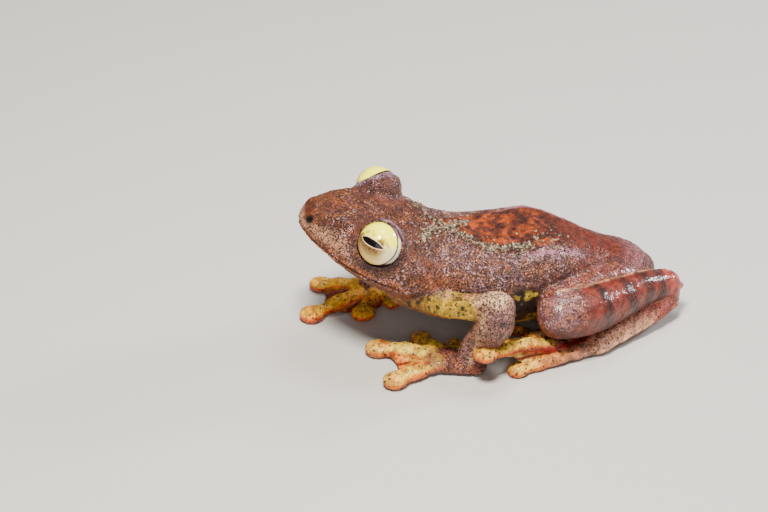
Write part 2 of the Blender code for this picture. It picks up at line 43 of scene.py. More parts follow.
# Trunk: y, height of the widest line, top, bottom, half width, top and bottom power of the section
VENT = (0.0, 27.0, 4.9)
TORSO_RINGS = (
    (26.7, 5.0, 5.9, 3.9, 1.0, 2.0, 2.0),
    (25.8, 5.1, 7.0, 3.0, 2.2, 2.0, 2.0),
    (24.0, 5.2, 8.2, 2.2, 3.7, 2.0, 2.0),
    (19.5, 6.0, 10.0, 1.3, 5.2, 2.2, 2.0),
    (15.0, 7.4, 12.4, 1.0, 6.4, 2.8, 2.1),
    (11.0, 8.6, 13.9, 1.0, 7.6, 3.0, 2.1),
    (6.5, 9.2, 13.8, 1.4, 8.3, 2.5, 2.1),
    (2.0, 9.8, 14.4, 2.4, 8.3, 2.2, 2.0),
    (-2.0, 11.0, 15.8, 5.1, 8.1, 2.2, 2.0),
)

# Head, in a frame with its origin midway between the eyes
HEAD_ORIGIN = (0.0, -10.1, 18.4)
HEAD_PITCH = math.radians(20)  # nose up
HEAD_YAW = math.radians(10)  # nose to the frog's right
# forward, height of the widest line, top, bottom, half width, top and bottom power
HEAD_RINGS = (
    (-4.2, -3.9, 1.15, -7.9, 8.2, 2.4, 2.0),
    (-1.2, -3.8, 1.05, -7.3, 8.1, 2.5, 2.0),
    (2.0, -3.8, 1.0, -6.5, 7.1, 2.5, 2.0),
    (5.0, -3.6, 0.75, -5.6, 5.2, 2.4, 2.0),
    (7.3, -3.3, -0.25, -4.8, 3.4, 2.3, 2.0),
    (8.6, -2.9, -1.15, -4.1, 2.0, 2.1, 2.0),
    (9.1, -2.7, -1.75, -3.5, 1.2, 2.0, 2.0),
)
SNOUT_TIP = (9.3, -2.65)
NOSTRIL = (1.9, 8.2, -1.95)  # left, forward, up
EYE_PLACE = (6.1, -0.2, 0.2)
EYE_RADIUS = 2.78
EYE_AXIS = (0.84, 0.40, 0.36)
LID_THICKNESS = 0.32
LID_PLANE = 0.4  # distance of the lids' rim from the eye's centre along its axis
LID_EDGE = 0.35  # how softly the lids are cut
ORBIT_BLEND = 1.1  # how softly the lids join the head
SOCKET_GAP = 0.03
SOCKET_EDGE = 0.12
TYMPANUM = (7.75, -5.3, -2.5)

# Limbs: point, half thickness across and half thickness upwards
UPPER_ARM = {
    LEFT: (
        ((5.0, -7.6, 10.0), 1.9, 1.9),
        ((8.6, -4.0, 10.0), 1.65, 1.65),
        ((11.4, 0.2, 10.8), 1.7, 1.7),
        ((12.8, 2.6, 11.3), 2.0, 2.0),
    ),
    RIGHT: (
        ((-5.0, -7.6, 9.2), 2.2, 2.1),
        ((-8.0, -4.4, 8.4), 1.9, 1.9),
        ((-10.6, -0.4, 6.8), 1.8, 1.8),
        ((-11.9, 1.6, 6.0), 2.1, 2.1),
    ),
}
FOREARM = {
    LEFT: (
        ((12.8, 2.6, 11.3), 2.0, 2.0),
        ((12.4, 2.4, 9.0), 2.2, 2.5),
        ((11.3, 1.7, 6.2), 1.8, 2.5),
        ((10.3, 0.4, 3.2), 1.2, 2.1),
        ((10.1, 0.0, 1.7), 1.2, 1.8),
    ),
    RIGHT: (
        ((-11.9, 1.6, 6.0), 2.1, 2.1),
        ((-12.1, -0.2, 5.3), 2.4, 2.4),
        ((-11.6, -3.0, 3.9), 2.2, 2.1),
        ((-10.8, -5.8, 2.4), 1.5, 1.4),
        ((-10.3, -7.2, 1.5), 1.3, 1.2),
    ),
}
PALM = {
    LEFT: (((10.4, 0.7, 0.95), 1.7, 1.2), ((8.4, -3.9, 0.9), 2.3, 1.15)),
    RIGHT: (((-10.4, -6.2, 0.95), 1.7, 1.2), ((-8.3, -9.9, 0.9), 2.3, 1.15)),
}
# Digits: base, tip, half width, disc radius, lift of the tip
FINGERS = {
    LEFT: (
        ((7.4, -1.9), (5.2, -1.1), 0.80, 1.00, 0.0),
        ((7.0, -3.0), (3.3, -5.0), 0.95, 1.25, 0.0),
        ((7.6, -4.6), (4.4, -10.9), 1.25, 1.55, 0.0),
        ((9.3, -4.4), (11.3, -10.1), 1.25, 1.50, 0.0),
    ),
    RIGHT: (
        ((-7.6, -7.9), (-5.0, -7.1), 0.80, 1.00, 0.0),
        ((-7.0, -9.0), (-3.4, -11.2), 1.00, 1.45, 0.0),
        ((-7.4, -10.8), (-4.5, -17.8), 1.05, 1.50, 0.0),
        ((-9.2, -10.8), (-10.8, -15.4), 1.05, 1.40, 0.0),
    ),
}
DIGIT_FLATNESS = 0.84  # a digit's thickness as a share of its width
DISC_FLATNESS = 0.62
SINK = 0.1  # how much of each digit the floor cuts off as a flat
ROOT_RISE = 0.15  # how far a digit's root stands off the floor
ARCH = 0.1  # how much higher than its ends a digit's middle is
BONE_LENGTH = 3.2  # from one of a digit's knuckles to the next
WEB_THICKNESS = 0.42
WEB_DROP = 0.15  # how far the webs lie below the digits' middle lines
WEB_REACH = 0.9  # how far along the digits the webs go
WEB_NOTCH = 0.14  # how hollow their front margins are
WEB_FOLDS = 3
WEB_FOLD_DEPTH = 0.16
WEB_ROWS = 36
WEB_COLUMNS = 28
LINE_POINTS = 60

THIGH = {
    LEFT: (
        ((2.4, 22.8, 5.0), 2.0, 2.0),
        ((4.2, 19.9, 6.1), 2.9, 2.7),
        ((6.6, 15.4, 7.1), 3.1, 2.9),
        ((8.8, 11.6, 7.5), 2.7, 2.6),
    ),
    RIGHT: (
        ((-1.9, 22.8, 5.2), 2.4, 2.2),
        ((-3.9, 18.9, 5.5), 2.9, 2.7),
        ((-6.9, 14.2, 5.7), 3.0, 2.8),
        ((-9.5, 10.9, 5.6), 2.6, 2.5),
    ),
}
SHANK = {
    LEFT: (
        ((10.2, 11.4, 6.8), 2.9, 3.0),
        ((9.7, 14.6, 6.7), 3.1, 3.2),
        ((8.0, 18.9, 6.4), 2.8, 2.9),
        ((5.9, 23.9, 6.2), 2.1, 2.3),
        ((4.4, 27.3, 5.3), 1.8, 1.9),
    ),
    RIGHT: (
        ((-10.9, 10.5, 5.0), 2.8, 2.8),
        ((-10.0, 13.4, 4.6), 3.1, 3.0),
        ((-7.4, 18.6, 4.0), 2.8, 2.8),
        ((-4.9, 22.8, 3.6), 2.3, 2.4),
        ((-3.4, 25.2, 3.2), 1.9, 2.0),
    ),
}
TARSUS = {
    LEFT: (
        ((4.4, 27.5, 3.1), 1.6, 1.9),
        ((6.2, 24.4, 2.4), 1.5, 1.9),
        ((8.2, 19.9, 1.6), 1.5, 1.45),
        ((9.3, 16.4, 1.2), 1.8, 1.15),
    ),
    RIGHT: (
        ((-3.6, 25.3, 2.0), 1.6, 1.6),
        ((-6.2, 21.8, 1.3), 1.5, 1.2),
        ((-9.2, 17.8, 1.2), 1.5, 1.1),
        ((-11.2, 14.2, 1.2), 1.7, 1.1),
    ),
}
SOLE = {
    LEFT: (((9.2, 17.4, 0.85), 1.7, 1.05), ((9.4, 13.6, 0.8), 2.1, 1.0)),
    RIGHT: (((-11.0, 14.7, 0.85), 1.7, 1.05), ((-11.2, 10.8, 0.8), 2.1, 1.0)),
}
TOES = {
    LEFT: (
        ((8.0, 15.6), (4.4, 11.8), 0.65, 0.85, 0.0),
        ((8.2, 14.4), (4.0, 7.6), 0.70, 0.95, 0.0),
        ((8.6, 13.4), (6.0, 4.8), 0.75, 1.05, 0.0),
        ((9.6, 13.0), (13.1, 1.1), 0.95, 1.45, 3.7),
        ((10.6, 13.6), (12.3, 5.6), 1.00, 1.25, 0.0),
    ),
    RIGHT: (
        ((-9.8, 12.8), (-6.0, 9.4), 0.65, 0.85, 0.0),
        ((-10.0, 11.6), (-6.2, 4.8), 0.70, 0.95, 0.0),
        ((-10.4, 10.6), (-8.2, 1.8), 0.75, 1.05, 0.0),
        ((-11.2, 10.2), (-11.2, 0.2), 0.85, 1.25, 0.0),
        ((-12.4, 10.8), (-14.2, 2.7), 0.85, 1.20, 0.0),
    ),
}
CALCAR = {
    LEFT: (((4.0, 28.7, 4.3), 0.7, 0.7), ((3.9, 29.4, 4.4), 0.4, 0.4)),
    RIGHT: (((-3.0, 26.5, 3.4), 0.7, 0.7), ((-2.6, 27.4, 3.6), 0.35, 0.35)),
}

# Lines on the body, in the frog's frame: x, y, z
DORSAL_LINE = (
    (4.2, -5.6, 16.4),
    (1.2, -3.0, 16.4),
    (0.4, -0.6, 15.2),
    (1.6, 1.2, 14.6),
    (3.2, 3.2, 13.9),
    (4.0, 8.9, 13.6),
    (2.3, 14.6, 12.4),
    (1.2, 19.2, 10.1),
)
FLANK_FOLD = ((8.2, -9.0, 12.4), (8.9, -6.0, 12.3), (8.8, -3.2, 11.9), (8.4, 0.2, 10.8), (8.3, 2.6, 10.4))
RED_STREAK = (
    (12.9, 4.6, 3.6),
    (12.3, 7.1, 3.1),
    (11.6, 9.3, 2.7),
    (10.7, 11.5, 2.2),
    (9.5, 13.8, 1.8),
    (9.1, 16.0, 1.8),
)
# The head's lines: left, forward, up in the head's frame
MOUTH = (
    (7.9, -4.2, -4.35),
    (7.9, -1.5, -4.25),
    (7.0, 2.0, -4.15),
    (5.1, 5.0, -4.0),
    (3.3, 7.2, -3.8),
    (1.7, 8.7, -3.55),
    (0.0, 9.2, -3.5),
)
CANTHUS = ((1.6, 8.3, -1.25), (2.6, 6.6, -0.1), (3.9, 4.3, 0.45), (4.6, 2.6, 0.7))
EAR_FOLD = ((7.0, -3.6, -0.2), (7.6, -5.4, -0.9), (7.9, -7.2, -2.0), (8.0, -8.6, -3.4))

# The field of distances
VOXEL = 0.13
BAND = 1.5  # how far from a surface its distances are known
LOW = np.floor(np.array((-16.6, -23.2, -0.9)) / VOXEL).astype(int)
HIGH = np.ceil(np.array((16.6, 32.6, 23.4)) / VOXEL).astype(int)
TRANSFORM = openvdb.createLinearTransform(voxelSize=VOXEL)

# The eye, in radians from its axis
GAZE_AHEAD = 0.24
GAZE_UP = {LEFT: 0.10, RIGHT: -0.02}
GAZE_ROLL = 0.16
PUPIL_LENGTH = 0.64
PUPIL_HEIGHT = 0.15
PUPIL_POWER = 2.6  # how blunt the pupil's ends are
IRIS_ANGLE = 1.31
CORNEA_RISE = 0.012  # as a share of the eye's radius
CORNEA_SPREAD = 0.7
EYE_RINGS, EYE_SIDES = ((90, 128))

# Colours are given as 0 to 255 on a screen
SKIN_COLOUR = (128, 84, 66)
SKIN_WETNESS = 0.22
SHANK_BARS = (0.3, 0.55, 0.72, 0.86)  # how far along the shank its dark bars lie
PART_SOFTENING = 6
DEEPEN = 1.5  # makes up for the light that the wet film and the view add to a colour
# The lids: start and end of the pale rim in degrees, width and strength of the dark line of painted shade
# along it
LID_COLOURS = {LEFT: (80, 150, 0.15, 0.4), RIGHT: (20, 165, 0.22, 0.9)}

# Factors that scramble the cells of a lattice
CELL_FACTORS = np.array((374761393, 668265263, 1440662683))
SALT_FACTOR = 974634777
MIX_FACTOR = 1274126177

# Sand
GRAIN_SEED = 7
GRAIN_SIZES = (0.10, 0.27)
GRAIN_STRETCH = (0.5, 1.25)
GRAIN_KNOBS = (0.65, 1.2)
GRAIN_RISE = 0.55  # how far a grain's middle stands off the skin, as a share of its size
# side, start and end along the line of the back, spread, number of grains
GRAIN_BANDS = (
    (LEFT, 0.0, 0.26, 0.42, 220),
    (LEFT, 0.26, 0.62, 0.34, 290),
    (RIGHT, 0.02, 0.35, 0.45, 200),
    (LEFT, 0.55, 0.8, 1.2, 120),
    (LEFT, 0.1, 0.5, 2.2, 100),
)

# The photograph's view
CAMERA_AZIMUTH = math.radians(78)
CAMERA_ELEVATION = math.radians(36)
CAMERA_DISTANCE = 390
CAMERA_TARGET = (-16.26, -5.70, 0)
CAMERA_LENS = 136.2

# Lights: name, place, aim, width, power, colour
LIGHTS = (
    ("key", (90, -40, 260), (0, 0, 5), 65, 2.0, (1.0, 0.955, 0.88)),
    ("fill", (260, -60, 120), (0, 0, 5), 240, 0.25, (1.0, 0.98, 0.95)),
    ("top", (-45, 50, 270), (0, 0, 5), 90, 0.4, (1.0, 0.98, 0.96)),
    ("rear", (-60, 330, 170), (0, 10, 5), 70, 1.4, (0.93, 0.94, 1.0)),
)
WORLD_COLOUR = (0.86, 0.85, 0.84, 1)
WORLD_STRENGTH = 0.2
FLOOR_COLOUR = (0.48, 0.46, 0.435, 1)
FLOOR_ROUGHNESS = 0.8
FLOOR_REACH = 600

PARTS = ("trunk", "arm", "forearm", "palm", "finger", "web", "thigh", "shank", "tarsus", "toe", "disc")

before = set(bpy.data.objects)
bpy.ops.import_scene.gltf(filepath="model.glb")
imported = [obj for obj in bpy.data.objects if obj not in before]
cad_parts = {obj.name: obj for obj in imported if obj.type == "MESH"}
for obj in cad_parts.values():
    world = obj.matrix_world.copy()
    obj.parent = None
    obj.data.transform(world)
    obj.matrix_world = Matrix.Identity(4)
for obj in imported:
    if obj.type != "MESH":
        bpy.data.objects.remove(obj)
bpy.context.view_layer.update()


def head_matrix():
    turn = Matrix.Rotation(-HEAD_YAW, 4, "Z") @ Matrix.Rotation(-HEAD_PITCH, 4, "X")
    return Matrix.Translation(HEAD_ORIGIN) @ turn


HEAD = np.array(head_matrix())


def head_point(left, forward, up):
    """A point of the head's frame in the frog's frame."""
    return HEAD[:3, :3] @ np.array((left, -forward, up)) + HEAD[:3, 3]


def head_direction(left, forward, up):
    made = HEAD[:3, :3] @ np.array((left, -forward, up))
    return made / np.linalg.norm(made)


def in_head(points):
    """Points of the frog's frame as left, forward and up in the head's frame."""
    made = (points - HEAD[:3, 3]) @ HEAD[:3, :3]
    return made * (1, -1, 1)


def smooth_rings(rings, count):
    """Rings on a smooth curve through the given rings, spread evenly along it."""
    rings = np.asarray(rings, float)
    centres = rings.mean(axis=1)
    along = np.concatenate([[0], np.cumsum(np.linalg.norm(np.diff(centres, axis=0), axis=1))])
    slope = np.gradient(rings, along, axis=0)
    made = []
    for s in np.linspace(0, along[-1], count):
        k = min(np.searchsorted(along, s, side="right") - 1, len(along) - 2)
        step = along[k + 1] - along[k]
        t = (s - along[k]) / step
        ends = (2 * t**3 - 3 * t**2 + 1) * rings[k] + (3 * t**2 - 2 * t**3) * rings[k + 1]
        bends = (t**3 - 2 * t**2 + t) * slope[k] + (t**3 - t**2) * slope[k + 1]
        made.append(ends + step * bends)
    return np.array(made)


def smooth_line(points, count):
    """A smooth curve through a few points."""
    return smooth_rings(np.asarray(points, float)[:, None], count)[:, 0]


def loft(rings, first_pole, last_pole):
    """Points and triangles of a closed skin through rings of equal count, with a pole at each end."""
    rings = np.asarray(rings, float)
    levels, count = rings.shape[:2]
    points = np.concatenate([rings.reshape(-1, 3), [first_pole, last_pole]])
    first, last = len(points) - 2, len(points) - 1
    k = np.arange(count)
    after = (k + 1) % count
    faces = [np.stack([np.full(count, first), after, k], 1)]
    top = (levels - 1) * count
    faces.append(np.stack([np.full(count, last), top + k, top + after], 1))
    for r in range(levels - 1):
        low, high = r * count, (r + 1) * count
        faces.append(np.stack([low + k, low + after, high + after], 1))
        faces.append(np.stack([low + k, high + after, high + k], 1))
    return points, np.concatenate(faces)


def section(wide, top, bottom, half_width, top_power, bottom_power):
    """Places across and heights round a superellipse whose widest line is at the height wide."""
    turn = 2 * math.pi * np.arange(TRUNK_SIDES) / TRUNK_SIDES
    c, s = np.cos(turn), np.sin(turn)
    power = np.where(s > 0, 2 / top_power, 2 / bottom_power)
    reach = np.where(s > 0, top - wide, wide - bottom)
    across = np.sign(c) * np.abs(c) ** power * half_width
    return np.stack([across, wide + np.sign(s) * np.abs(s) ** power * reach], 1)


def trunk():
    """The whole head and body as one loft."""
    rings = [[VENT] * TRUNK_SIDES]
    rings += [[(a, y, b) for a, b in section(*form)] for y, *form in TORSO_RINGS]
    rings += [[head_point(a, forward, b) for a, b in section(*form)] for forward, *form in HEAD_RINGS]
    rings.append([head_point(0, *SNOUT_TIP)] * TRUNK_SIDES)
    smooth = smooth_rings([[tuple(p) for p in ring] for ring in rings], TRUNK_RINGS)
    return loft(smooth[1:-1], smooth[0].mean(axis=0), smooth[-1].mean(axis=0))


def smooth_path(path, count):
    """Points spread evenly along a limb's path, and its half thickness across and upwards at each."""
    centres = np.array([point for point, _, _ in path], float)
    sizes = np.array([(across, upward, 0) for _, across, upward in path], float)
    pairs = smooth_rings(np.stack([centres, centres + sizes], axis=1), count)
    return pairs[:, 0], pairs[:, 1] - pairs[:, 0]


def limb(path, sides=32, count=40, round_rings=8, swell=None):
    """A limb with round ends: a tube of elliptic rings along a smooth curve through the path."""
    centres, sizes = smooth_path(path, count)
    if swell is not None:
        sizes = sizes * swell(np.linspace(0, 1, count))[:, None]
    ahead = np.gradient(centres, axis=0)
    ahead /= np.linalg.norm(ahead, axis=1)[:, None]
    side = np.cross(ahead[0], (0, 0, 1))
    if np.linalg.norm(side) < 0.3:
        side = np.cross(ahead[0], (0, 1, 0))
    turns = np.arange(sides) * 2 * math.pi / sides

    def ring(centre, direction, a, b):
        nonlocal side
        side = side - direction * np.dot(side, direction)
        side /= np.linalg.norm(side)
        up = np.cross(side, direction)
        return centre + a * np.outer(np.cos(turns), side) + b * np.outer(np.sin(turns), up)

    def end_cap(centre, direction, across, upward, sign):
        reach = min(across, upward)
        found = []
        for k in range(1, round_rings + 1):
            lean = 0.5 * math.pi * k / (round_rings + 0.6)
            shifted = centre + direction * sign * reach * math.sin(lean)
            shrink = math.cos(lean)
            found.append(ring(shifted, direction, across * shrink, upward * shrink))
        return found, centre + direction * sign * reach

    start, start_pole = end_cap(centres[0], ahead[0], sizes[0, 0], sizes[0, 1], -1)
    rings = start[::-1]
    for centre, direction, size in zip(centres, ahead, sizes):
        rings.append(ring(centre, direction, size[0], size[1]))
    end, end_pole = end_cap(centres[-1], ahead[-1], sizes[-1, 0], sizes[-1, 1], 1)
    return loft([*rings, *end], start_pole, end_pole)


def ball(centre, radii, sides=40, rings=24):
    """An ellipsoid with its poles up and down."""
    turns = 2 * math.pi * np.arange(sides) / sides
    made = []
    for v in [math.pi * k / rings - math.pi / 2 for k in range(1, rings)]:
        flat = np.stack([np.cos(turns), np.sin(turns), np.full(sides, math.tan(v))], 1) * math.cos(v)
        made.append(np.array(centre) + flat * radii)
    pole = np.array((0, 0, radii[2]))
    return loft(made, centre - pole, centre + pole)


def web(first, second):
    """A thin sheet between two digits' paths, with folds along it and a hollow front margin."""
    lines = [smooth_line([p for p, _, _ in path], LINE_POINTS) for path in (first, second)]
    last = LINE_POINTS - 1
    middle = np.empty((WEB_ROWS + 1, WEB_COLUMNS + 1, 3))
    for i, j in np.ndindex(WEB_ROWS + 1, WEB_COLUMNS + 1):
        across = j / WEB_COLUMNS
        at = last * WEB_REACH * (1 - WEB_NOTCH * 4 * across * (1 - across)) * i / WEB_ROWS
        low = int(at)
        a, b = (line[low] * (low + 1 - at) + line[min(low + 1, last)] * (at - low) for line in lines)
        middle[i, j] = a + (b - a) * across
        wave = math.cos(2 * math.pi * WEB_FOLDS * across) - 1
        fade = 4 * across * (1 - across) * min(1, 2.5 * i / WEB_ROWS)
        middle[i, j, 2] += wave * WEB_FOLD_DEPTH * fade - WEB_DROP
    middle[..., 2] = np.maximum(middle[..., 2], WEB_THICKNESS / 2 + 0.02)
    ahead, sideways = np.gradient(middle, axis=(0, 1))
    offset = np.cross(sideways, ahead)
    offset *= WEB_THICKNESS / 2 / np.linalg.norm(offset, axis=2)[..., None]
    points = np.concatenate([middle + offset, middle - offset]).reshape(-1, 3)
    width, layer = WEB_COLUMNS + 1, (WEB_ROWS + 1) * (WEB_COLUMNS + 1)
    i, j = np.meshgrid(np.arange(WEB_ROWS), np.arange(WEB_COLUMNS), indexing="ij")
    a = (i * width + j).ravel()
    b, c, d = a + 1, a + width + 1, a + width
    faces = [(a, b, c), (a, c, d), (layer + a, layer + c, layer + b), (layer + a, layer + d, layer + c)]
    rim = list(range(width))
    rim += [k * width + WEB_COLUMNS for k in range(1, WEB_ROWS + 1)]
    rim += [WEB_ROWS * width + k for k in range(WEB_COLUMNS - 1, -1, -1)]
    rim += [k * width for k in range(WEB_ROWS - 1, 0, -1)]
    rim = np.array(rim)
    after = np.roll(rim, -1)
    faces += [(rim, layer + rim, after), (after, layer + rim, layer + after)]
    return points, np.concatenate([np.stack(t, 1) for t in faces])


def corners(t):
    """The eight corners of a cell and the share of each at the place t in the cell."""
    for corner in np.ndindex(2, 2, 2):
        yield corner, np.prod(np.where(corner, t, 1 - t), axis=-1)


class Field:
    """Distances to a surface on the points of a grid, below 0 inside it, and the part that lies nearest."""

    def __init__(self):
        self.values = np.full(HIGH - LOW, BAND, np.float32)
        self.parts = np.zeros(HIGH - LOW, np.uint8)

    def window(self, low, high):
        """The part of the grid between two corners, and the corner's place in it."""
        first = np.clip(np.floor(np.asarray(low) / VOXEL).astype(int), LOW, HIGH) - LOW
        last = np.clip(np.ceil(np.asarray(high) / VOXEL).astype(int), LOW, HIGH) - LOW
        return tuple(slice(a, b) for a, b in zip(first, last)), first + LOW

    def points(self, window):
        """The x, y and z of the points of a window, ready to be combined."""
        axes = [np.arange(s.start, s.stop) + l for s, l in zip(window, LOW)]
        x, y, z = (a.astype(np.float32) * VOXEL for a in axes)
        return x[:, None, None], y[None, :, None], z[None, None, :]

    def distances(self, mesh):
        """The distances to a closed mesh, in a window that holds it."""
        points, faces = mesh
        window, corner = self.window(points.min(0) - BAND, points.max(0) + BAND)
        grid = openvdb.FloatGrid.createLevelSetFromPolygons(
            points.astype(np.float32),
            triangles=faces.astype(np.uint32),
            transform=TRANSFORM,
            halfWidth=BAND / VOXEL,
        )
        made = np.empty([s.stop - s.start for s in window], np.float32)
        grid.copyToArray(made, ijk=tuple(int(c) for c in corner))
        return window, made

    def far(self, window, place):
        """The squared distances of a window's points from a place."""
        x, y, z = self.points(window)
        return (x - place[0]) ** 2 + (y - place[1]) ** 2 + (z - place[2]) ** 2

    def join(self, part, mesh, crease, joint=None, reach=None, blend=None):
        """Adds a form softly: by a crease, and by a wide blend near a joint."""
        window, other = self.distances(mesh)
        self.parts[window][other < self.values[window]] = PARTS.index(part)
        softness = crease
        if joint is not None:
            softness = crease + (blend - crease) * np.exp(-self.far(window, joint) / reach**2)
        self.values[window] = soft_min(self.values[window], other, softness)

    def soften(self, place, reach, rounds):
        """Rounds the surface off near a place."""
        window, _ = self.window(np.array(place) - 2 * reach, np.array(place) + 2 * reach)
        share = np.exp(-self.far(window, place) / reach**2)
        share *= share > 0.1
        for _ in range(rounds):
            values = self.values[window]
            mean = sum(np.roll(values, s, axis=a) for a in range(3) for s in (-1, 1)) / 6
            self.values[window] = values + (mean - values) * share

    def sample(self, points):
        """Distances at some points, read between the grid's points."""
        at = np.asarray(points) / VOXEL - LOW
        low = np.clip(np.floor(at).astype(int), 0, np.array(self.values.shape) - 2)
        return sum(share * self.values[tuple((low + corner).T)] for corner, share in corners(at - low))

    def slope(self, points):
        """The surface's outward direction near some points."""
        steps = np.eye(3) * VOXEL
        made = np.stack([self.sample(points + s) - self.sample(points - s) for s in steps], axis=-1)
        return made / np.maximum(np.linalg.norm(made, axis=-1), 1e-6)[..., None]

    def snap(self, points):
        """Points near the surface, moved onto it."""
        points = np.array(points, float)
        for _ in range(8):
            points -= self.slope(points) * self.sample(points)[:, None]
        return points

    def surface(self):
        """Points and quads of the surface."""
        grid = openvdb.FloatGrid(BAND)
        grid.transform = TRANSFORM
        grid.gridClass = openvdb.GridClass.LEVEL_SET
        grid.copyFromArray(self.values, ijk=tuple(int(c) for c in LOW), tolerance=0)
        points, _, quads = grid.convertToPolygons(isovalue=0.0, adaptivity=0.0)
        return points.astype(float), quads.astype(int)[:, ::-1]


def soft_min(a, b, k):
    """The lesser of two values, rounded off where they are nearly equal."""
    h = np.clip(0.5 + 0.5 * (b - a) / k, 0, 1)
    return b * (1 - h) + a * h - k * h * (1 - h)


def digit_path(digit):
    """A digit that leaves the palm a little raised and lies flat at its tip, or is lifted."""
    base, tip, radius, _, lift = digit
    thick = DIGIT_FLATNESS * radius
    start = np.array((*base, thick + ROOT_RISE))
    end = np.array((*tip, 0.85 * thick - SINK + lift))
    middle = (start + end) / 2 + np.array((0, 0, ARCH + 0.3 * lift))
    return [
        (tuple(start), radius * 1.1, thick),
        (tuple(middle), radius, thick),
        (tuple(end), radius * 0.92, 0.8 * thick),
    ]


def knuckles(bones):
    """A digit's swelling at its joints."""
    return lambda t: 1 + 0.09 * np.cos(2 * math.pi * bones * t) - 0.05 * np.cos(math.pi * bones * t) ** 4


def add_paw(field, pad, digits, base_part, digit_part):
    """A hand or foot: pad, webs, digits and their discs."""
    field.join(base_part, limb(pad, count=12), 0.2, pad[0][0], 2.5, 1.2)
    paths = [digit_path(digit) for digit in digits]
    for first, second in zip(paths, paths[1:]):
        field.join("web", web(first, second), 0.3)
    for (base, tip, _, disc, lift), path in zip(digits, paths):
        bones = max(2, round(math.dist(base, tip) / BONE_LENGTH))
        field.join(digit_part, limb(path, 20, 40, 6, knuckles(bones)), 0.25)
        thick = DISC_FLATNESS * disc
        centre = np.array((*tip, thick - SINK + lift))
        field.join("disc", ball(centre, (disc, disc * 1.1, thick)), 0.28)


def square_to(axis, ahead, side):
    """The directions ahead and up at right angles to an axis."""
    ahead = ahead - axis * (ahead @ axis)
    ahead /= np.linalg.norm(ahead)
    return ahead, np.cross(ahead, axis) * side


def eye_frame(side):
    """An eye's centre, and its directions outward, towards the snout and upward."""
    place = head_point(side * EYE_PLACE[0], *EYE_PLACE[1:])
    axis = head_direction(side * EYE_AXIS[0], *EYE_AXIS[1:])
    return place, axis, *square_to(axis, head_direction(0, 1, 0), side)


def add_orbits(field):
    """The swellings round the eyes, with lids and sockets."""
    for side in SIDES:
        place, axis, _, _ = eye_frame(side)
        outer = EYE_RADIUS + LID_THICKNESS
        window, _ = field.window(place - outer - BAND, place + outer + BAND)
        x, y, z = field.points(window)
        dx, dy, dz = x - place[0], y - place[1], z - place[2]
        from_eye = np.sqrt(dx * dx + dy * dy + dz * dz)
        outward = dx * axis[0] + dy * axis[1] + dz * axis[2]
        lid = -soft_min(outer - from_eye, LID_PLANE - outward, LID_EDGE)
        skin = soft_min(field.values[window], lid, ORBIT_BLEND)
        field.values[window] = -soft_min(-skin, from_eye - EYE_RADIUS - SOCKET_GAP, SOCKET_EDGE)


def make_field():
    """The whole frog as one field."""
    field = Field()
    field.join("trunk", trunk(), 0.1)
    field.soften(head_point(0, *SNOUT_TIP), 1.6, 24)
    field.soften(VENT, 1.8, 24)
    add_orbits(field)
    for side in SIDES:
        shoulder, elbow = UPPER_ARM[side][0][0], FOREARM[side][0][0]
        field.join("arm", limb(UPPER_ARM[side]), 0.4, shoulder, 4.5, 2.2)
        field.join("forearm", limb(FOREARM[side]), 0.2, elbow, 2.6, 1.4)
        hip, knee = THIGH[side][0][0], SHANK[side][0][0]
        field.join("thigh", limb(THIGH[side]), 0.3, hip, 5.0, 2.4)
        field.join("shank", limb(SHANK[side]), 0.12, knee, 3.0, 1.3)
        field.join("shank", limb(CALCAR[side], 16, 8), 0.9)
        field.join("tarsus", limb(TARSUS[side]), 0.12, TARSUS[side][0][0], 2.4, 1.2)
        add_paw(field, PALM[side], FINGERS[side], "palm", "finger")
        add_paw(field, SOLE[side], TOES[side], "tarsus", "toe")
    window, _ = field.window(LOW * VOXEL, HIGH * VOXEL)
    _, _, z = field.points(window)
    field.values = np.maximum(field.values, -z)
    return field


def scramble(cells, salt):
    """A repeatable number between 0 and 1 for each cell of a lattice."""
    mixed = cells.astype(np.int64) @ CELL_FACTORS + salt * SALT_FACTOR
    mixed = (mixed ^ (mixed >> 13)) * MIX_FACTOR
    mixed ^= mixed >> 16
    return (mixed & 0xFFFFFF) / 0xFFFFFF


def waves(points, size, salt):
    """Smooth noise from -1 to 1 whose bumps are about size apart."""
    at = points / size
    cell = np.floor(at)
    t = at - cell
    t = t * t * (3 - 2 * t)
    return sum(share * scramble(cell + corner, salt) for corner, share in corners(t)) * 2 - 1


def rough(points, size, salt, levels=3):
    """Noise from about -1 to 1 with finer noise on it."""
    return sum(waves(points, size / 2**k, salt + 7 * k) / 1.7**k for k in range(levels)) / 1.4


def spots(points, size, salt):
    """Distance to the nearest of scattered points about size apart, and that point's own number."""
    at = points / size
    cell = np.floor(at)
    best = np.full(len(points), 9.0)
    number = np.zeros(len(points))
    for step in np.ndindex(3, 3, 3):
        near = cell + np.array(step) - 1
        place = near + np.stack([scramble(near, salt + k) for k in range(3)], axis=1)
        away = ((place - at) ** 2).sum(1)
        closer = away < best
        best = np.where(closer, away, best)
        number = np.where(closer, scramble(near, salt + 3), number)
    return np.sqrt(best), number


def ease(value, low, high):
    """0 below low, 1 above high and smooth between; it falls instead where low is the greater."""
    t = np.clip((value - low) / (high - low), 0, 1)
    return t * t * (3 - 2 * t)


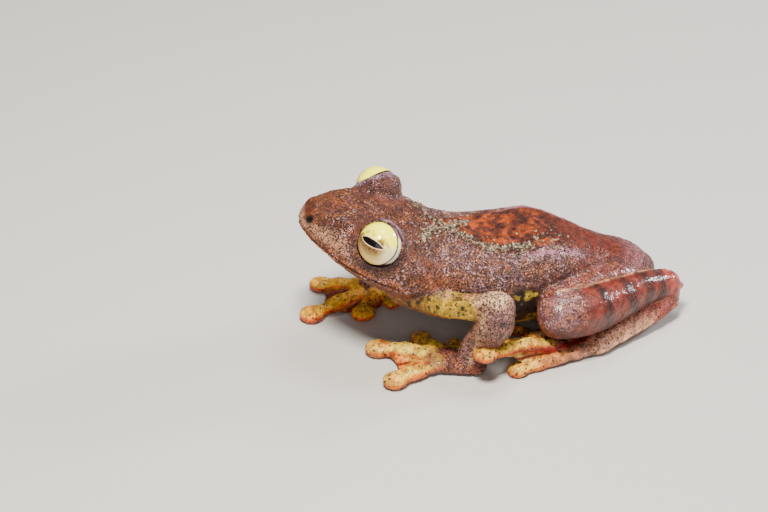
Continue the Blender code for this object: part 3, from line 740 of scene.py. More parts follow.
def follow(line, points):
    """Distance from each point to a line, and how far along the line that is, from 0 to 1."""
    line = np.asarray(line, float)
    steps = np.linalg.norm(np.diff(line, axis=0), axis=1)
    starts = np.concatenate([[0], np.cumsum(steps)])
    best = np.full(len(points), np.inf)
    place = np.zeros(len(points))
    for a, b, start, long in zip(line[:-1], line[1:], starts, steps):
        t = np.clip((points - a) @ (b - a) / max(long * long, 1e-9), 0, 1)
        away = ((points - a - t[:, None] * (b - a)) ** 2).sum(1)
        closer = away < best
        best[closer] = away[closer]
        place[closer] = start + t[closer] * long
    return np.sqrt(best), place / max(starts[-1], 1e-6)


def centre_line(path, count=24):
    return smooth_line([point for point, _, _ in path], count)


def beside(path, side, out, up):
    """A line on a limb: out and up are shares of its thickness, away from the frog's middle and upwards."""
    centres, sizes = smooth_path(path, 24)
    outward = np.cross(np.gradient(centres, axis=0), (0, 0, 1))
    outward *= np.sign(outward[:, :1] * side) / np.linalg.norm(outward, axis=1)[:, None]
    return centres + outward * out * sizes[:, :1] + np.array((0, 0, up)) * sizes[:, 1:2]


def tint(red, green, blue):
    """A colour given as 0 to 255 on a screen, in the shader's linear values and a little deeper."""
    screen = (np.array((red, green, blue)) / 255) ** DEEPEN
    return np.where(screen < 0.04045, screen / 12.92, ((screen + 0.055) / 1.055) ** 2.4)


class Skin:
    """The skin's points with their parts, relief and colours."""

    def __init__(self, field):
        self.field = field
        self.points, self.quads = field.surface()
        count = len(self.points)
        self.normals = field.slope(self.points)
        self.level = self.normals[:, 2]
        self.head = in_head(self.points)
        edges = np.concatenate([self.quads[:, [k, (k + 1) % 4]] for k in range(4)])
        self.edges = np.concatenate([edges, edges[:, ::-1]])
        self.valence = np.bincount(self.edges[:, 0], minlength=count)
        at = np.round(self.points / VOXEL).astype(int) - LOW
        nearest = field.parts[tuple(np.clip(at, 0, np.array(field.parts.shape) - 1).T)]
        self.share = {name: self.spread(nearest == k, PART_SOFTENING) for k, name in enumerate(PARTS)}
        self.relief, self.freckles, self.dots = np.zeros((3, count))
        self.wetness = np.full(count, SKIN_WETNESS)
        self.colour = np.tile(tint(*SKIN_COLOUR), (count, 1))

    def spread(self, values, rounds):
        """Values evened out over the neighbouring points."""
        values = np.asarray(values, float)
        for _ in range(rounds):
            total = np.bincount(self.edges[:, 0], values[self.edges[:, 1]], len(values))
            values = 0.4 * values + 0.6 * total / self.valence
        return values

    def shares(self, *names):
        """How strongly each point belongs to each of some parts."""
        return [self.share[name] for name in names]

    def rough(self, size, salt):
        return rough(self.points, size, salt)

    def away(self, place):
        """The points' distances from a place."""
        return np.linalg.norm(self.points - place, axis=1)

    def on_side(self, side):
        """1 for the points on one side of the frog and 0 on the other."""
        return ease(side * self.points[:, 0], 0.5, 1.5)

    def along(self, line):
        """How far along a line each point lies, from 0 to 1."""
        return follow(line, self.points)[1]

    def close_to(self, line, radius):
        """How strongly each point lies on a line, 1 on it and 0 beyond a few radii."""
        line = np.asarray(line, float)
        low, high = line.min(0) - 2.5 * radius, line.max(0) + 2.5 * radius
        inside = np.all((self.points > low) & (self.points < high), axis=1)
        made = np.zeros(len(self.points))
        away, _ = follow(line, self.points[inside])
        made[inside] = np.exp(-((away / radius) ** 2))
        return made

    def on_skin(self, line, count=24):
        return self.field.snap(smooth_line(line, count))

    def edge_of(self, path, side, out, up):
        """A line along a limb, on the skin."""
        return self.field.snap(beside(path, side, out, up))

    def raise_line(self, line, radius, height):
        self.relief += height * self.close_to(line, radius)

    def paint(self, colour, share):
        """Lays a colour over the points."""
        share = np.clip(share, 0, 1)[:, None]
        self.colour = self.colour * (1 - share) + tint(*colour) * share


def head_line(line, side):
    return [head_point(side * left, forward, up) for left, forward, up in line]


def eye_arc(skin, side, gap, start, end, depth):
    """Part of a circle outside an eye, on the skin: 0 degrees is towards the snout and 90 is up."""
    place, axis, ahead, up = eye_frame(side)
    turns = np.radians(np.linspace(start, end, 24))[:, None]
    circle = (EYE_RADIUS + gap) * (np.cos(turns) * ahead + np.sin(turns) * up)
    return skin.field.snap(place + axis * depth + circle)


def nostril_line(skin, side):
    nostril = head_point(side * NOSTRIL[0], *NOSTRIL[1:])
    return skin.field.snap([nostril - (0, 0.2, 0), nostril + (0, 0.2, 0)])


def model_head(skin):
    """Mouth, lips, nostrils, ridges, lids and eardrums."""
    for side in SIDES:
        mouth = skin.on_skin(head_line(MOUTH, side), 40)
        fold = skin.on_skin(head_line(EAR_FOLD, side))
        pit = nostril_line(skin, side)
        left, forward, up = TYMPANUM
        turns = np.linspace(0, 2 * math.pi, 24)
        ring = [head_point(side * left, forward + 1.0 * math.cos(t), up + 0.9 * math.sin(t)) for t in turns]
        drum = [head_point(side * left, forward, up)] * 2
        for line, radius, height in (
            (mouth, 0.55, 0.13),
            (mouth, 0.2, -0.34),
            (skin.on_skin(head_line(CANTHUS, side)), 0.55, 0.16),
            (pit, 0.7, 0.26),
            (pit, 0.32, -0.6),
            (eye_arc(skin, side, 0.2, 20, 190, 0.5), 0.28, 0.1),
            (eye_arc(skin, side, 0.55, 200, 330, 0.2), 0.4, -0.2),
            (fold, 0.6, 0.2),
            (fold + np.array((0, 0, -0.9)), 0.4, -0.12),
            (skin.field.snap(ring), 0.22, 0.09),
            (skin.field.snap(drum), 0.8, -0.12),
        ):
            skin.raise_line(line, radius, height)


def mirrored(line, side):
    return [(side * x, y, z) for x, y, z in line]


def model_body(skin):
    """Ridges of the back, the fold over the arm, and fringes along the limbs."""
    for side in SIDES:
        dorsal = skin.on_skin(mirrored(DORSAL_LINE, side), 40)
        flank = skin.on_skin(mirrored(FLANK_FOLD, side))
        for line, radius, height in (
            (dorsal[18:], 0.8, 0.22),
            (flank, 0.7, 0.3),
            (flank + np.array((0, 0, -0.95)), 0.35, -0.25),
            (skin.edge_of(FOREARM[side], side, 1.0, 0.0), 0.3, 0.22),
            (skin.edge_of(TARSUS[side], side, 1.0, -0.2), 0.3, 0.22),
            (skin.edge_of(SHANK[side], side, -0.3, 0.95), 0.28, 0.16),
        ):
            skin.raise_line(line, radius, height)


def roughen(skin):
    """Granules and wrinkles, weaker on webs, discs and shanks, and none on the lids."""
    webs, discs, shanks = skin.shares("web", "disc", "shank")
    soft = 1 - 0.75 * webs - 0.5 * discs - 0.35 * shanks
    for side in SIDES:
        soft = soft * ease(skin.away(eye_frame(side)[0]), EYE_RADIUS, EYE_RADIUS + 0.5)
    away, _ = spots(skin.points, 0.62, 5)
    made = 0.09 * (0.6 - away) + 0.09 * skin.rough(1.7, 11) + 0.045 * waves(skin.points, 0.45, 3)
    skin.relief += made * np.clip(soft, 0, 1)


def settle(skin):
    """Moves the points by the relief, and keeps the flats on the floor."""
    lift = ease(skin.points[:, 2], 0.02, 0.3)
    points = skin.points + skin.normals * (skin.relief * lift)[:, None]
    points[:, 2] = np.maximum(points[:, 2], 0)
    return points


def colour_trunk(skin):
    """Red-brown head, dark and orange back, purple flanks, black and yellow groins and an orange throat."""
    x, y, z = skin.points.T
    _, forward, up = skin.head.T
    wide, body = np.abs(x), skin.share["trunk"]
    mottle, fine = skin.rough(2.6, 21), skin.rough(0.8, 31)
    skin.paint((152, 106, 84), 0.55 + 0.7 * mottle)
    skin.paint((92, 42, 30), ease(fine + 0.5 * mottle, 0.1, 0.7) * 0.7)

    snout = body * ease(forward, 4.5, 8.5)
    skin.paint((202, 146, 100), snout * 0.75)
    skin.paint((140, 64, 34), body * ease(forward, 7.6, 8.6) * ease(up, -3.0, -2.2) * 0.8)
    side_face = body * ease(forward, 1.5, 4.0) * ease(skin.level, 0.75, 0.35)
    skin.paint((226, 184, 152), side_face * ease(up, -3.4, -2.4) * 0.85)
    crown = body * ease(skin.level, 0.4, 0.8) * ease(forward, -10, -7)
    skin.paint((124, 70, 28), crown * 0.8)
    skin.paint((186, 116, 56), crown * ease(skin.rough(1.5, 75), 0.1, 0.5) * 0.55)

    flank = body * ease(z, 13.4, 11.4) * ease(y, -3.0, 3.0)
    skin.paint((138, 100, 92), flank * 0.8)
    middle = np.interp(y, (-1, 2, 5, 9, 14, 20), (0.6, 2.9, 4.2, 4.6, 3.4, 1.8))
    patch = body * ease(forward, -5.5, -9.0) * ease(z, 8.5, 9.5)
    patch = patch * ease(wide + 0.5 * mottle - 1.2 * (x < 0), middle + 0.35, middle - 0.35)
    skin.paint((110, 48, 18), patch * 0.95)
    orange = ease(0.5 * mottle + skin.rough(1.3, 45), -0.25, 0.35) * ease(y, 17, 11)
    skin.paint((190, 104, 16), patch * orange * 0.9)
    skin.paint((62, 26, 14), patch * ease(skin.rough(0.8, 41), 0.12, 0.5) * 0.65)
    rump = body * ease(y, 12, 16) * ease(z, 6, 8)
    skin.paint((146, 70, 34), rump * 0.75)
    # lilac over the top of the rump: partly the skin's lilac, partly a painted sheen
    skin.paint((184, 132, 142), body * ease(y, 21, 25) * ease(z, 6, 8) * 0.6)
    # painted sheen: a pale lilac stripe along the outer side of the back's ridge stands in for its highlight
    ridge = body * np.exp(-(((wide - middle - 0.9) / 0.55) ** 2)) * ease(y, 6, 9) * ease(y, 17, 14)
    skin.paint((196, 136, 158), ridge * 0.7)

    belly = body * ease(z, 6.5, 4.0) * ease(y, -6, 0)
    skin.paint((206, 178, 132), belly)
    throat = body * ease(up, -4.3, -5.4) * ease(y, 2, -3)
    skin.paint((160, 96, 34), throat)
    lip = body * ease(up, -3.1, -3.6) * ease(up, -5.0, -4.2) * ease(forward, -6, -3)
    skin.paint((206, 132, 66), lip * (0.6 + 0.4 * fine))
    cheek = body * np.exp(-(((forward + 8.5) / 3.0) ** 2) - (((up + 2.6) / 1.5) ** 2)) * ease(wide, 5, 6.5)
    skin.paint((168, 102, 44), cheek * 0.8)

    groin = ease(y, 4.5, 6.5) * ease(y, 13.5, 11.0) * ease(z + 0.6 * mottle, 10.8, 9.4) * ease(wide, 5, 6.5)
    groin = groin * (body + skin.share["thigh"]) * (1 - throat)
    skin.paint((44, 26, 20), groin * 0.9)
    skin.paint((210, 186, 80), groin * body * ease(skin.rough(1.0, 51), 0.12, 0.3) * ease(z, 10.2, 9.2))
    low_cheek = ease(up, -1.0, -2.5) * ease(forward, -8, -5)
    orbit = body * ease(np.minimum(*[skin.away(eye_frame(side)[0]) for side in SIDES]), 4.6, 3.4)
    skin.paint((122, 84, 78), orbit * 0.7)
    skin.paint((158, 88, 44), orbit * ease(forward, -1.6, -3.0) * ease(z, 18, 19.5) * 0.8)

    bare = 0.25 * low_cheek + 0.3 * flank + 0.4 * orbit + 0.8 * patch + 0.5 * cheek + 0.9 * groin
    bare = bare + 0.3 * snout + 0.4 * rump + 0.5 * crown + belly + throat
    skin.freckles += body * (0.9 - bare)
    skin.dots += body * (0.6 + 0.2 * flank)
    skin.wetness += 0.4 * ridge - 0.1 * patch


def colour_arms(skin):
    """Lilac-pink arms with yellow undersides and black dots, cream elbows whose upward faces carry a painted
    highlight, and cream fringes.
    """
    z = skin.points[:, 2]
    fine = skin.rough(0.8, 61)
    arm, forearm = skin.shares("arm", "forearm")
    both = arm + forearm
    skin.paint((188, 144, 134), both)
    yellow, root = np.zeros((2, len(z)))
    for side in SIDES:
        middle = centre_line(UPPER_ARM[side])
        along = skin.along(middle)
        over = z - np.interp(along, np.linspace(0, 1, len(middle)), middle[:, 2])
        away, _ = follow(centre_line(FOREARM[side]), skin.points)
        own = skin.on_side(side) * (arm + 0.5 * forearm)
        yellow += own * ease(away, 2.0, 3.2) * ease(along, 1.0, 0.9) * ease(over + 0.3 * fine, 2.0, 1.3)
        root += own * ease(along + 0.1 * fine, 0.5, 0.15)
    yellow, root = np.clip(yellow, 0, 1), np.clip(root, 0, 1)
    skin.paint((204, 174, 52), yellow)
    skin.paint((176, 104, 40), yellow * ease(z, 9.9, 8.9))
    skin.paint((150, 92, 36), yellow * root * 0.8)
    skin.paint((206, 112, 36), yellow * ease(z, 11.9, 12.5) * 0.5)
    away, number = spots(skin.points, 1.0, 67)
    skin.paint((46, 28, 18), yellow * ease(away + 0.14 * fine, 0.4, 0.28) * (number > 0.35) * 0.9)
    for side in SIDES:
        # cream on the elbows' upward faces: partly their own pale colour, partly a painted highlight
        elbow = ease(skin.away(FOREARM[side][0][0]) + 0.7 * fine, 3.6, 1.8)
        skin.paint((250, 218, 176), both * elbow * ease(skin.level, 0.3, 0.9) * 0.85)
        fringe = skin.close_to(skin.edge_of(FOREARM[side], side, 1.0, 0.0), 0.35)
        skin.paint((230, 196, 150), fringe * 0.7)
    skin.freckles += 0.6 * both * (1 - yellow)
    skin.dots += 0.9 * both


def colour_legs(skin):
    """Glossy red-brown legs with dark bars and pale edges."""
    x, _, z = skin.points.T
    fine = skin.rough(0.8, 61)
    thigh, shank, tarsus = skin.shares("thigh", "shank", "tarsus")
    leg = thigh + shank
    under = ease(skin.level, 0.2, -0.4)
    skin.paint((162, 86, 66), leg * (0.9 - 0.5 * ease(z, 11, 9) * ease(np.abs(x), 5, 6.5) * thigh))
    skin.paint((146, 62, 38), shank * 0.55)
    skin.paint((230, 178, 152), tarsus)
    for side in SIDES:
        own = skin.on_side(side)
        along = skin.along(centre_line(SHANK[side]))
        wobble = along + 0.03 * skin.rough(2.0, 71)
        bars = sum(np.exp(-(((wobble - at) / 0.05) ** 2)) for at in SHANK_BARS)
        skin.paint((78, 30, 20), own * shank * bars * 0.9)
        skin.paint((204, 106, 86), own * shank * ease(along, 0.86, 1.0) * 0.7)
        knee = own * shank * ease(along, 0.22, 0.02)
        # painted shade: the lower side of the knee is painted a deep orange-brown
        skin.paint((134, 56, 10), knee * ease(z, 7.8, 5.4))
        skin.paint((168, 128, 126), knee * ease(z, 6.2, 7.8) * 0.65)
        cream = skin.close_to(skin.edge_of(SHANK[side], side, -0.3, 0.95), 0.22)
        skin.paint((224, 190, 150), cream * ease(along, 0.95, 0.7) * (0.6 + 0.8 * fine))
        down = skin.along(centre_line(TARSUS[side]))
        skin.paint((188, 84, 66), own * tarsus * ease(down + 0.1 * fine, 0.55, 0.2) * 0.8)
        edge = skin.close_to(skin.edge_of(TARSUS[side], side, 0.9, -0.2), 0.7)
        skin.paint((250, 204, 168), edge * 0.9 * ease(down, 0.2, 0.5))
        before_knee = np.array(SHANK[side][0][0]) + (0, -1, 0)
        skin.freckles += 0.7 * shank * ease(skin.away(before_knee), 6.5, 3.0) * (1 - under)
    skin.freckles += 0.7 * thigh + 0.22 * tarsus
    skin.dots += 0.4 * leg + 0.9 * tarsus
    skin.wetness += (0.6 * leg + 0.25 * tarsus) * (1 - 0.85 * under)


def far_side(skin):
    """1 for the points on the frog's right, away from the camera."""
    return ease(skin.points[:, 0], 0, -1)


def foot_root(skin):
    """1 near the feet's heels and 0 towards the toes' tips."""
    return sum(ease(skin.away(SOLE[side][0][0]), 10.0, 3.0) for side in SIDES)


def colour_digits(skin):
    """Yellow and orange digits with dark dots and pale tops that are partly painted highlight, brown palms,
    and painted shade on the near foot's inner toes.
    """
    x, y, _ = skin.points.T
    fine, coarse = skin.rough(0.7, 81), skin.rough(2.0, 91)
    toe, disc, palm = skin.shares("toe", "disc", "palm")
    digit = skin.share["finger"] + toe + disc
    far, root = far_side(skin), foot_root(skin)
    near_tip = digit * (1 - root)
    top = ease(skin.level + 0.3 * fine, 0.2, 0.7)
    skin.paint((166, 108, 80), palm)
    skin.paint((238, 152, 24), digit * (1 - 0.7 * root))
    skin.paint((250, 134, 14), digit * far * 0.8)
    # the pale cream on the digits' upward faces is partly their own cream mottling and partly painted
    # highlight; the yellow on the far hand's digits is painted highlight
    pale = near_tip * top * ease(coarse + 0.5 * fine, -1.0, -0.3)
    knob = disc * 0.6 + 0.4 * toe * ease(x, 10.5, 12.5)
    skin.paint((255, 226, 104), pale * (1 - far))
    skin.paint((242, 188, 100), pale * (1 - far) * knob)
    skin.paint((255, 210, 56), pale * far * 0.9)
    skin.paint((216, 98, 8), near_tip * ease(coarse - 0.5 * fine, 0.0, -0.6) * (0.7 - 0.5 * top))
    skin.paint((226, 136, 40), near_tip * (1 - far) * ease(fine, 0.05, 0.6) * 0.5)
    skin.paint((232, 176, 146), toe * root * 0.85)
    # painted shade: the near foot's inner toes, which lie in shade under the knee, are painted dark brown
    shaded_inner_toes = ease(x, 9.4, 8.4) * ease(x, 0, 1) * ease(y, 3, 4)
    skin.paint((112, 52, 22), toe * shaded_inner_toes * 0.85)
    skin.dots += 0.9 * digit + 0.5 * palm
    skin.freckles += 0.4 * palm + 0.08 * digit
    skin.wetness += 0.2 * digit


def colour_webs(skin):
    """Orange webs with red streaks along their folds, and the red streak on the near foot."""
    points, webs = skin.points, skin.share["web"]
    fine, coarse = skin.rough(0.7, 81), skin.rough(2.0, 91)
    far, root = far_side(skin), foot_root(skin)
    for digits in (*FINGERS.values(), *TOES.values()):
        lines = [centre_line(digit_path(d), 12) for d in digits]
        corners = np.concatenate(lines)
        inside = np.all((points > corners.min(0) - 2) & (points < corners.max(0) + 2), axis=1)
        near = (webs > 0.02) & inside
        away = np.sort(np.stack([follow(line, points[near])[0] for line in lines], axis=1), axis=1)
        across = away[:, 0] / (away[:, 0] + away[:, 1])
        fold = np.cos(2 * math.pi * WEB_FOLDS * across)
        share, streak = np.zeros((2, len(points)))
        share[near] = webs[near]
        streak[near] = ease(fold + 0.5 * fine[near], 0.1, -0.6)
        skin.paint((238, 146, 30), share)
        skin.paint((146, 22, 6), share * np.maximum(streak * 0.85, np.maximum(0.8 * root, 0.95 * far)))
        skin.paint((255, 218, 128), share * (1 - streak) * ease(coarse, -0.3, 0.3) * (1 - 0.9 * far))
    paw = webs + skin.share["finger"] + skin.share["toe"] + skin.share["disc"]
    knuckle = ease(skin.away(PALM[LEFT][1][0]) + 0.6 * fine, 3.6, 2.0) * ease(points[:, 0], 7.6, 8.8)
    skin.paint((160, 112, 96), paw * knuckle * 0.8)
    streak = smooth_line(RED_STREAK, 24)
    skin.paint((190, 36, 14), skin.close_to(streak, 0.55) * 1.3)
    skin.paint((238, 152, 120), skin.close_to(streak + np.array((0.5, 0.3, -1.2)), 0.4) * 0.8)


def colour_lids_and_crease_shade(skin):
    """Painted shade in the creases round the eyes, along the mouth and in the nostrils, and grey-lilac lids.
    """
    for side, (first, last, width, strength) in LID_COLOURS.items():
        away = skin.away(eye_frame(side)[0])
        pit = nostril_line(skin, side)
        rim = skin.close_to(eye_arc(skin, side, 0.3, first, last, 0.2), 0.35)
        line = skin.close_to(eye_arc(skin, side, 0.05, 10, 170, 0.4), width)
        below = skin.close_to(eye_arc(skin, side, 0.5, 200, 330, 0.2), 0.4)
        mouth = skin.close_to(skin.on_skin(head_line(MOUTH, side), 40), 0.14)
        quiet = 1 - skin.close_to(pit, 0.6)
        skin.paint((176, 152, 164), rim * 0.8)
        # painted shade: a dark line along the lid's rim, where the lid meets the eyeball
        skin.paint((40, 26, 24), line * strength)
        # painted shade in the socket's gap round the eyeball
        skin.paint((60, 40, 36), 0.8 * ease(away, EYE_RADIUS + 0.16, EYE_RADIUS + 0.04))
        # painted shade in the groove under the eye
        skin.paint((60, 30, 24), 0.7 * below)
        # painted shade inside the nostrils
        skin.paint((22, 12, 10), 1.8 * skin.close_to(pit, 0.46))
        # painted shade along the mouth's crease
        skin.paint((70, 30, 20), 0.8 * mouth)
        for marks in (skin.freckles, skin.dots, skin.wetness):
            marks *= quiet


class Nodes:
    """Builds a material whose colour is laid in coats.

    An input that is given a socket is linked, and other inputs are set.
    """

    def __init__(self, name):
        self.colour = (1.0, 1.0, 1.0, 1.0)
        self.material = bpy.data.materials.new(name)
        self.material.use_nodes = True
        self.tree = self.material.node_tree
        self.tree.nodes.clear()

    def add(self, kind, inputs, **settings):
        node = self.tree.nodes.new(kind)
        for name, value in settings.items():
            setattr(node, name, value)
        for name, value in inputs.items():
            if isinstance(value, bpy.types.NodeSocket):
                self.tree.links.new(value, node.inputs[name])
            else:
                node.inputs[name].default_value = value
        return node

    def math(self, operation, first, second=0.0):
        return self.add("ShaderNodeMath", {0: first, 1: second}, operation=operation).outputs[0]

    def times(self, first, second):
        return self.math("MULTIPLY", first, second)

    def minus(self, first, second):
        return self.math("SUBTRACT", first, second)

    def ramp(self, value, low, high, start=0.0, end=1.0):
        ends = {"Value": value, "From Min": low, "From Max": high, "To Min": start, "To Max": end}
        return self.add("ShaderNodeMapRange", ends, interpolation_type="SMOOTHSTEP").outputs["Result"]

    def mix(self, share, first, second):
        inputs = {0: share, 6: first, 7: second}
        return self.add("ShaderNodeMix", inputs, data_type="RGBA").outputs[2]

    def coat(self, share, red, green, blue):
        """Lays a colour over the material's colour."""
        self.colour = self.mix(share, self.colour, rgba(red, green, blue))

    def attribute(self, name, output="Vector"):
        return self.add("ShaderNodeAttribute", {}, attribute_name=name).outputs[output]

    def noise(self, place, scale, detail=2.0):
        inputs = {"Vector": place, "Scale": scale, "Detail": detail}
        return self.add("ShaderNodeTexNoise", inputs).outputs["Fac"]

    def cells(self, place, scale):
        return self.add("ShaderNodeTexVoronoi", {"Vector": place, "Scale": scale}).outputs

    def split(self, vector):
        return self.add("ShaderNodeSeparateXYZ", {0: vector}).outputs

    def bump(self, strength, distance, height):
        """A bump whose distance is given in millimetres."""
        inputs = {"Strength": strength, "Distance": distance * MM, "Height": height}
        return self.add("ShaderNodeBump", inputs).outputs[0]

    def place(self):
        """The surface's place in millimetres."""
        made = self.add("ShaderNodeTexCoord", {}).outputs["Object"]
        return self.add("ShaderNodeVectorMath", {0: made, "Scale": 1 / MM}, operation="SCALE").outputs[0]

    def finish(self, inputs):
        shader = self.add("ShaderNodeBsdfPrincipled", {"Base Color": self.colour, **inputs})
        self.add("ShaderNodeOutputMaterial", {"Surface": shader.outputs[0]})
        return self.material


def rgba(red, green, blue):
    return (*tint(red, green, blue), 1.0)


def skin_material():
    """Moist granular skin: the ground colour with lilac freckles and dark dots, under a wet film."""
    nodes = Nodes("moist_skin")
    place = nodes.place()
    nodes.colour = nodes.attribute("ground", "Color")
    freckled, dotted, wet = nodes.split(nodes.attribute("marks"))

    patches = nodes.noise(place, 0.95, 3.0)
    ochre = nodes.times(nodes.ramp(patches, 0.52, 0.62), nodes.times(freckled, 0.5))
    nodes.coat(ochre, 168, 112, 62)
    plum = nodes.times(nodes.ramp(patches, 0.48, 0.38), nodes.times(freckled, 0.7))
    nodes.coat(plum, 136, 106, 122)
    dark = nodes.add("ShaderNodeHueSaturation", {"Value": 0.5, "Color": nodes.colour}).outputs[0]
    shade = nodes.ramp(nodes.noise(place, 1.1, 4.0), 0.58, 0.40)
    nodes.colour = nodes.mix(shade, nodes.colour, dark)

    drift = nodes.times(nodes.noise(place, 0.75, 3.0), 0.55)
    cover = nodes.minus(0.985, nodes.math("ADD", nodes.times(freckled, 0.17), drift))
    freckle = nodes.ramp(nodes.minus(nodes.noise(place, 3.8, 3.0), cover), -0.03, 0.09)
    freckle = nodes.times(freckle, nodes.ramp(freckled, 0.0, 0.3))
    lilac = nodes.mix(nodes.noise(place, 2.1), rgba(166, 130, 138), rgba(230, 200, 198))
    nodes.colour = nodes.mix(nodes.times(freckle, 0.8), nodes.colour, lilac)
    umber = nodes.ramp(nodes.noise(place, 4.2, 3.0), 0.51, 0.42)
    umber = nodes.times(umber, nodes.ramp(freckled, 0.0, 0.4))
    nodes.coat(nodes.times(umber, 0.92), 64, 32, 24)
    fleck = nodes.ramp(nodes.noise(place, 5.2, 2.0), 0.57, 0.66)
    fleck = nodes.times(fleck, nodes.ramp(freckled, 0.0, 0.5))
    fleck = nodes.times(fleck, nodes.ramp(patches, 0.47, 0.6, 0.1, 0.6))
    nodes.coat(fleck, 236, 180, 138)

    speck = nodes.cells(place, 1.9)
    size = nodes.times(nodes.times(nodes.split(speck["Color"])[0], 0.40), dotted)
    dot = nodes.ramp(nodes.minus(speck["Distance"], size), 0.06, 0.0)
    dot = nodes.times(dot, nodes.ramp(dotted, 0.0, 0.3))
    nodes.coat(nodes.times(dot, 0.85), 52, 26, 22)

    grain = nodes.ramp(nodes.cells(place, 3.4)["Distance"], 0.5, 0.0)
    height = nodes.math("ADD", grain, nodes.noise(place, 7.0, 3.0))
    film = nodes.ramp(nodes.noise(place, 0.5, 3.0), 0.35, 0.62, 0.45, 1.0)
    film = nodes.times(film, wet)
    return nodes.finish(
        {
            "Roughness": nodes.ramp(film, 0.0, 1.0, 0.62, 0.36),
            "Specular IOR Level": 0.25,
            "Normal": nodes.bump(nodes.ramp(wet, 0.25, 0.7, 1.0, 0.45), 0.2, height),
            "Coat Weight": film,
            "Coat Roughness": 0.09,
            "Coat Normal": nodes.bump(nodes.ramp(wet, 0.25, 0.7, 0.7, 0.3), 0.07, height),
            "Subsurface Weight": 0.03,
            "Subsurface Scale": 0.5 * MM,
        }
    )


def eye_material():
    """Cream and yellow iris with veins and a rusty cloud, a black slit pupil and a white edge."""
    nodes = Nodes("eye")
    angles = nodes.attribute("angles")
    ahead, up, _ = nodes.split(angles)
    from_axis = nodes.add("ShaderNodeVectorMath", {0: angles}, operation="LENGTH").outputs["Value"]
    wide = nodes.math("POWER", nodes.math("ABSOLUTE", nodes.math("DIVIDE", ahead, PUPIL_LENGTH)), PUPIL_POWER)
    tall = nodes.math("ABSOLUTE", nodes.math("DIVIDE", up, PUPIL_HEIGHT))
    slit = nodes.math("ADD", wide, tall)
    drawn = nodes.add("ShaderNodeVectorMath", {0: angles, 1: (1.0, 2.2, 1.0)}, operation="MULTIPLY")
    veins = nodes.noise(drawn.outputs[0], 9.0, 5.0)

    nodes.colour = nodes.mix(nodes.ramp(up, -0.5, 0.6), rgba(250, 220, 126), rgba(255, 250, 72))
    rear = nodes.times(nodes.ramp(ahead, -0.3, -1.0), nodes.ramp(up, 0.5, 0.0))
    nodes.coat(nodes.times(rear, 0.7), 252, 244, 216)
    rust = nodes.times(nodes.ramp(slit, 7.2, 2.0), nodes.ramp(up, 0.3, -0.1))
    rust = nodes.times(rust, nodes.ramp(ahead, -1.0, -0.3, 0.25, 1.0))
    blotches = nodes.ramp(nodes.noise(angles, 2.2, 2.0), 0.45, 0.6)
    rust = nodes.math("MAXIMUM", rust, nodes.times(nodes.ramp(slit, 4.5, 1.5), blotches))
    rust = nodes.times(rust, nodes.ramp(veins, 0.3, 0.6, 0.75, 1.0))
    nodes.coat(rust, 104, 40, 16)
    nodes.coat(nodes.times(nodes.ramp(veins, 0.56, 0.7), 0.35), 150, 120, 80)
    nodes.coat(nodes.ramp(slit, 1.4, 1.15), 240, 214, 180)
    nodes.coat(nodes.ramp(slit, 1.1, 0.95), 8, 6, 6)

    white = nodes.mix(nodes.ramp(veins, 0.5, 0.75), rgba(244, 238, 222), rgba(214, 196, 184))
    white = nodes.mix(nodes.ramp(up, 0.85, 1.05), white, rgba(160, 132, 140))
    white = nodes.mix(nodes.ramp(up, -0.75, -1.0), white, rgba(120, 84, 60))
    outside = nodes.ramp(from_axis, IRIS_ANGLE, IRIS_ANGLE + 0.03)
    nodes.colour = nodes.mix(outside, nodes.colour, white)
    ring = nodes.math("ABSOLUTE", nodes.minus(from_axis, IRIS_ANGLE))
    nodes.coat(nodes.ramp(ring, 0.07, 0.025), 34, 24, 16)
    return nodes.finish(
        {
            "Roughness": nodes.ramp(veins, 0.3, 0.7, 0.3, 0.42),
            "Normal": nodes.bump(0.15, 0.03, veins),
            "Specular IOR Level": 0.15,
            "Coat Weight": 1.0,
            "Coat IOR": 1.45,
            "Coat Roughness": 0.02,
        }
    )


def sand_material():
    """Dull grains, each with its own tone."""
    nodes = Nodes("sand")
    tone = nodes.attribute("tone", "Fac")
    speckle = nodes.noise(nodes.place(), 9.0, 3.0)
    nodes.colour = nodes.mix(tone, rgba(70, 56, 46), rgba(200, 184, 158))
    nodes.coat(nodes.ramp(speckle, 0.5, 0.7), 92, 70, 52)
    roughness = nodes.ramp(speckle, 0.3, 0.7, 0.5, 0.85)
    return nodes.finish({"Roughness": roughness, "Normal": nodes.bump(0.6, 0.04, speckle)})


def in_row(points):
    """Points of the frog's frame in metres in the row's frame."""
    return (np.asarray(points, float) - (*FLOOR_CENTRE, 0.0)) * MM


def mesh_piece(name, points, faces):
    mesh = bpy.data.meshes.new(name)
    faces = np.asarray(faces)
    count, corners = faces.shape
    mesh.vertices.add(len(points))
    mesh.vertices.foreach_set("co", in_row(points).astype(np.float32).ravel())
    mesh.loops.add(count * corners)
    mesh.loops.foreach_set("vertex_index", faces.astype(np.int32).ravel())
    mesh.polygons.add(count)
    mesh.polygons.foreach_set("loop_start", np.arange(0, count * corners, corners, dtype=np.int32))
    mesh.update(calc_edges=True)
    mesh.shade_smooth()
    piece = bpy.data.objects.new(name, mesh)
    bpy.context.scene.collection.objects.link(piece)
    return piece


def give(piece, name, values):
    """Stores one value or vector at each point of a piece."""
    values = np.asarray(values, np.float32)
    kind = "FLOAT" if values.ndim == 1 else "FLOAT_VECTOR"
    layer = piece.data.attributes.new(name, kind, "POINT")
    layer.data.foreach_set("value" if values.ndim == 1 else "vector", values.ravel())


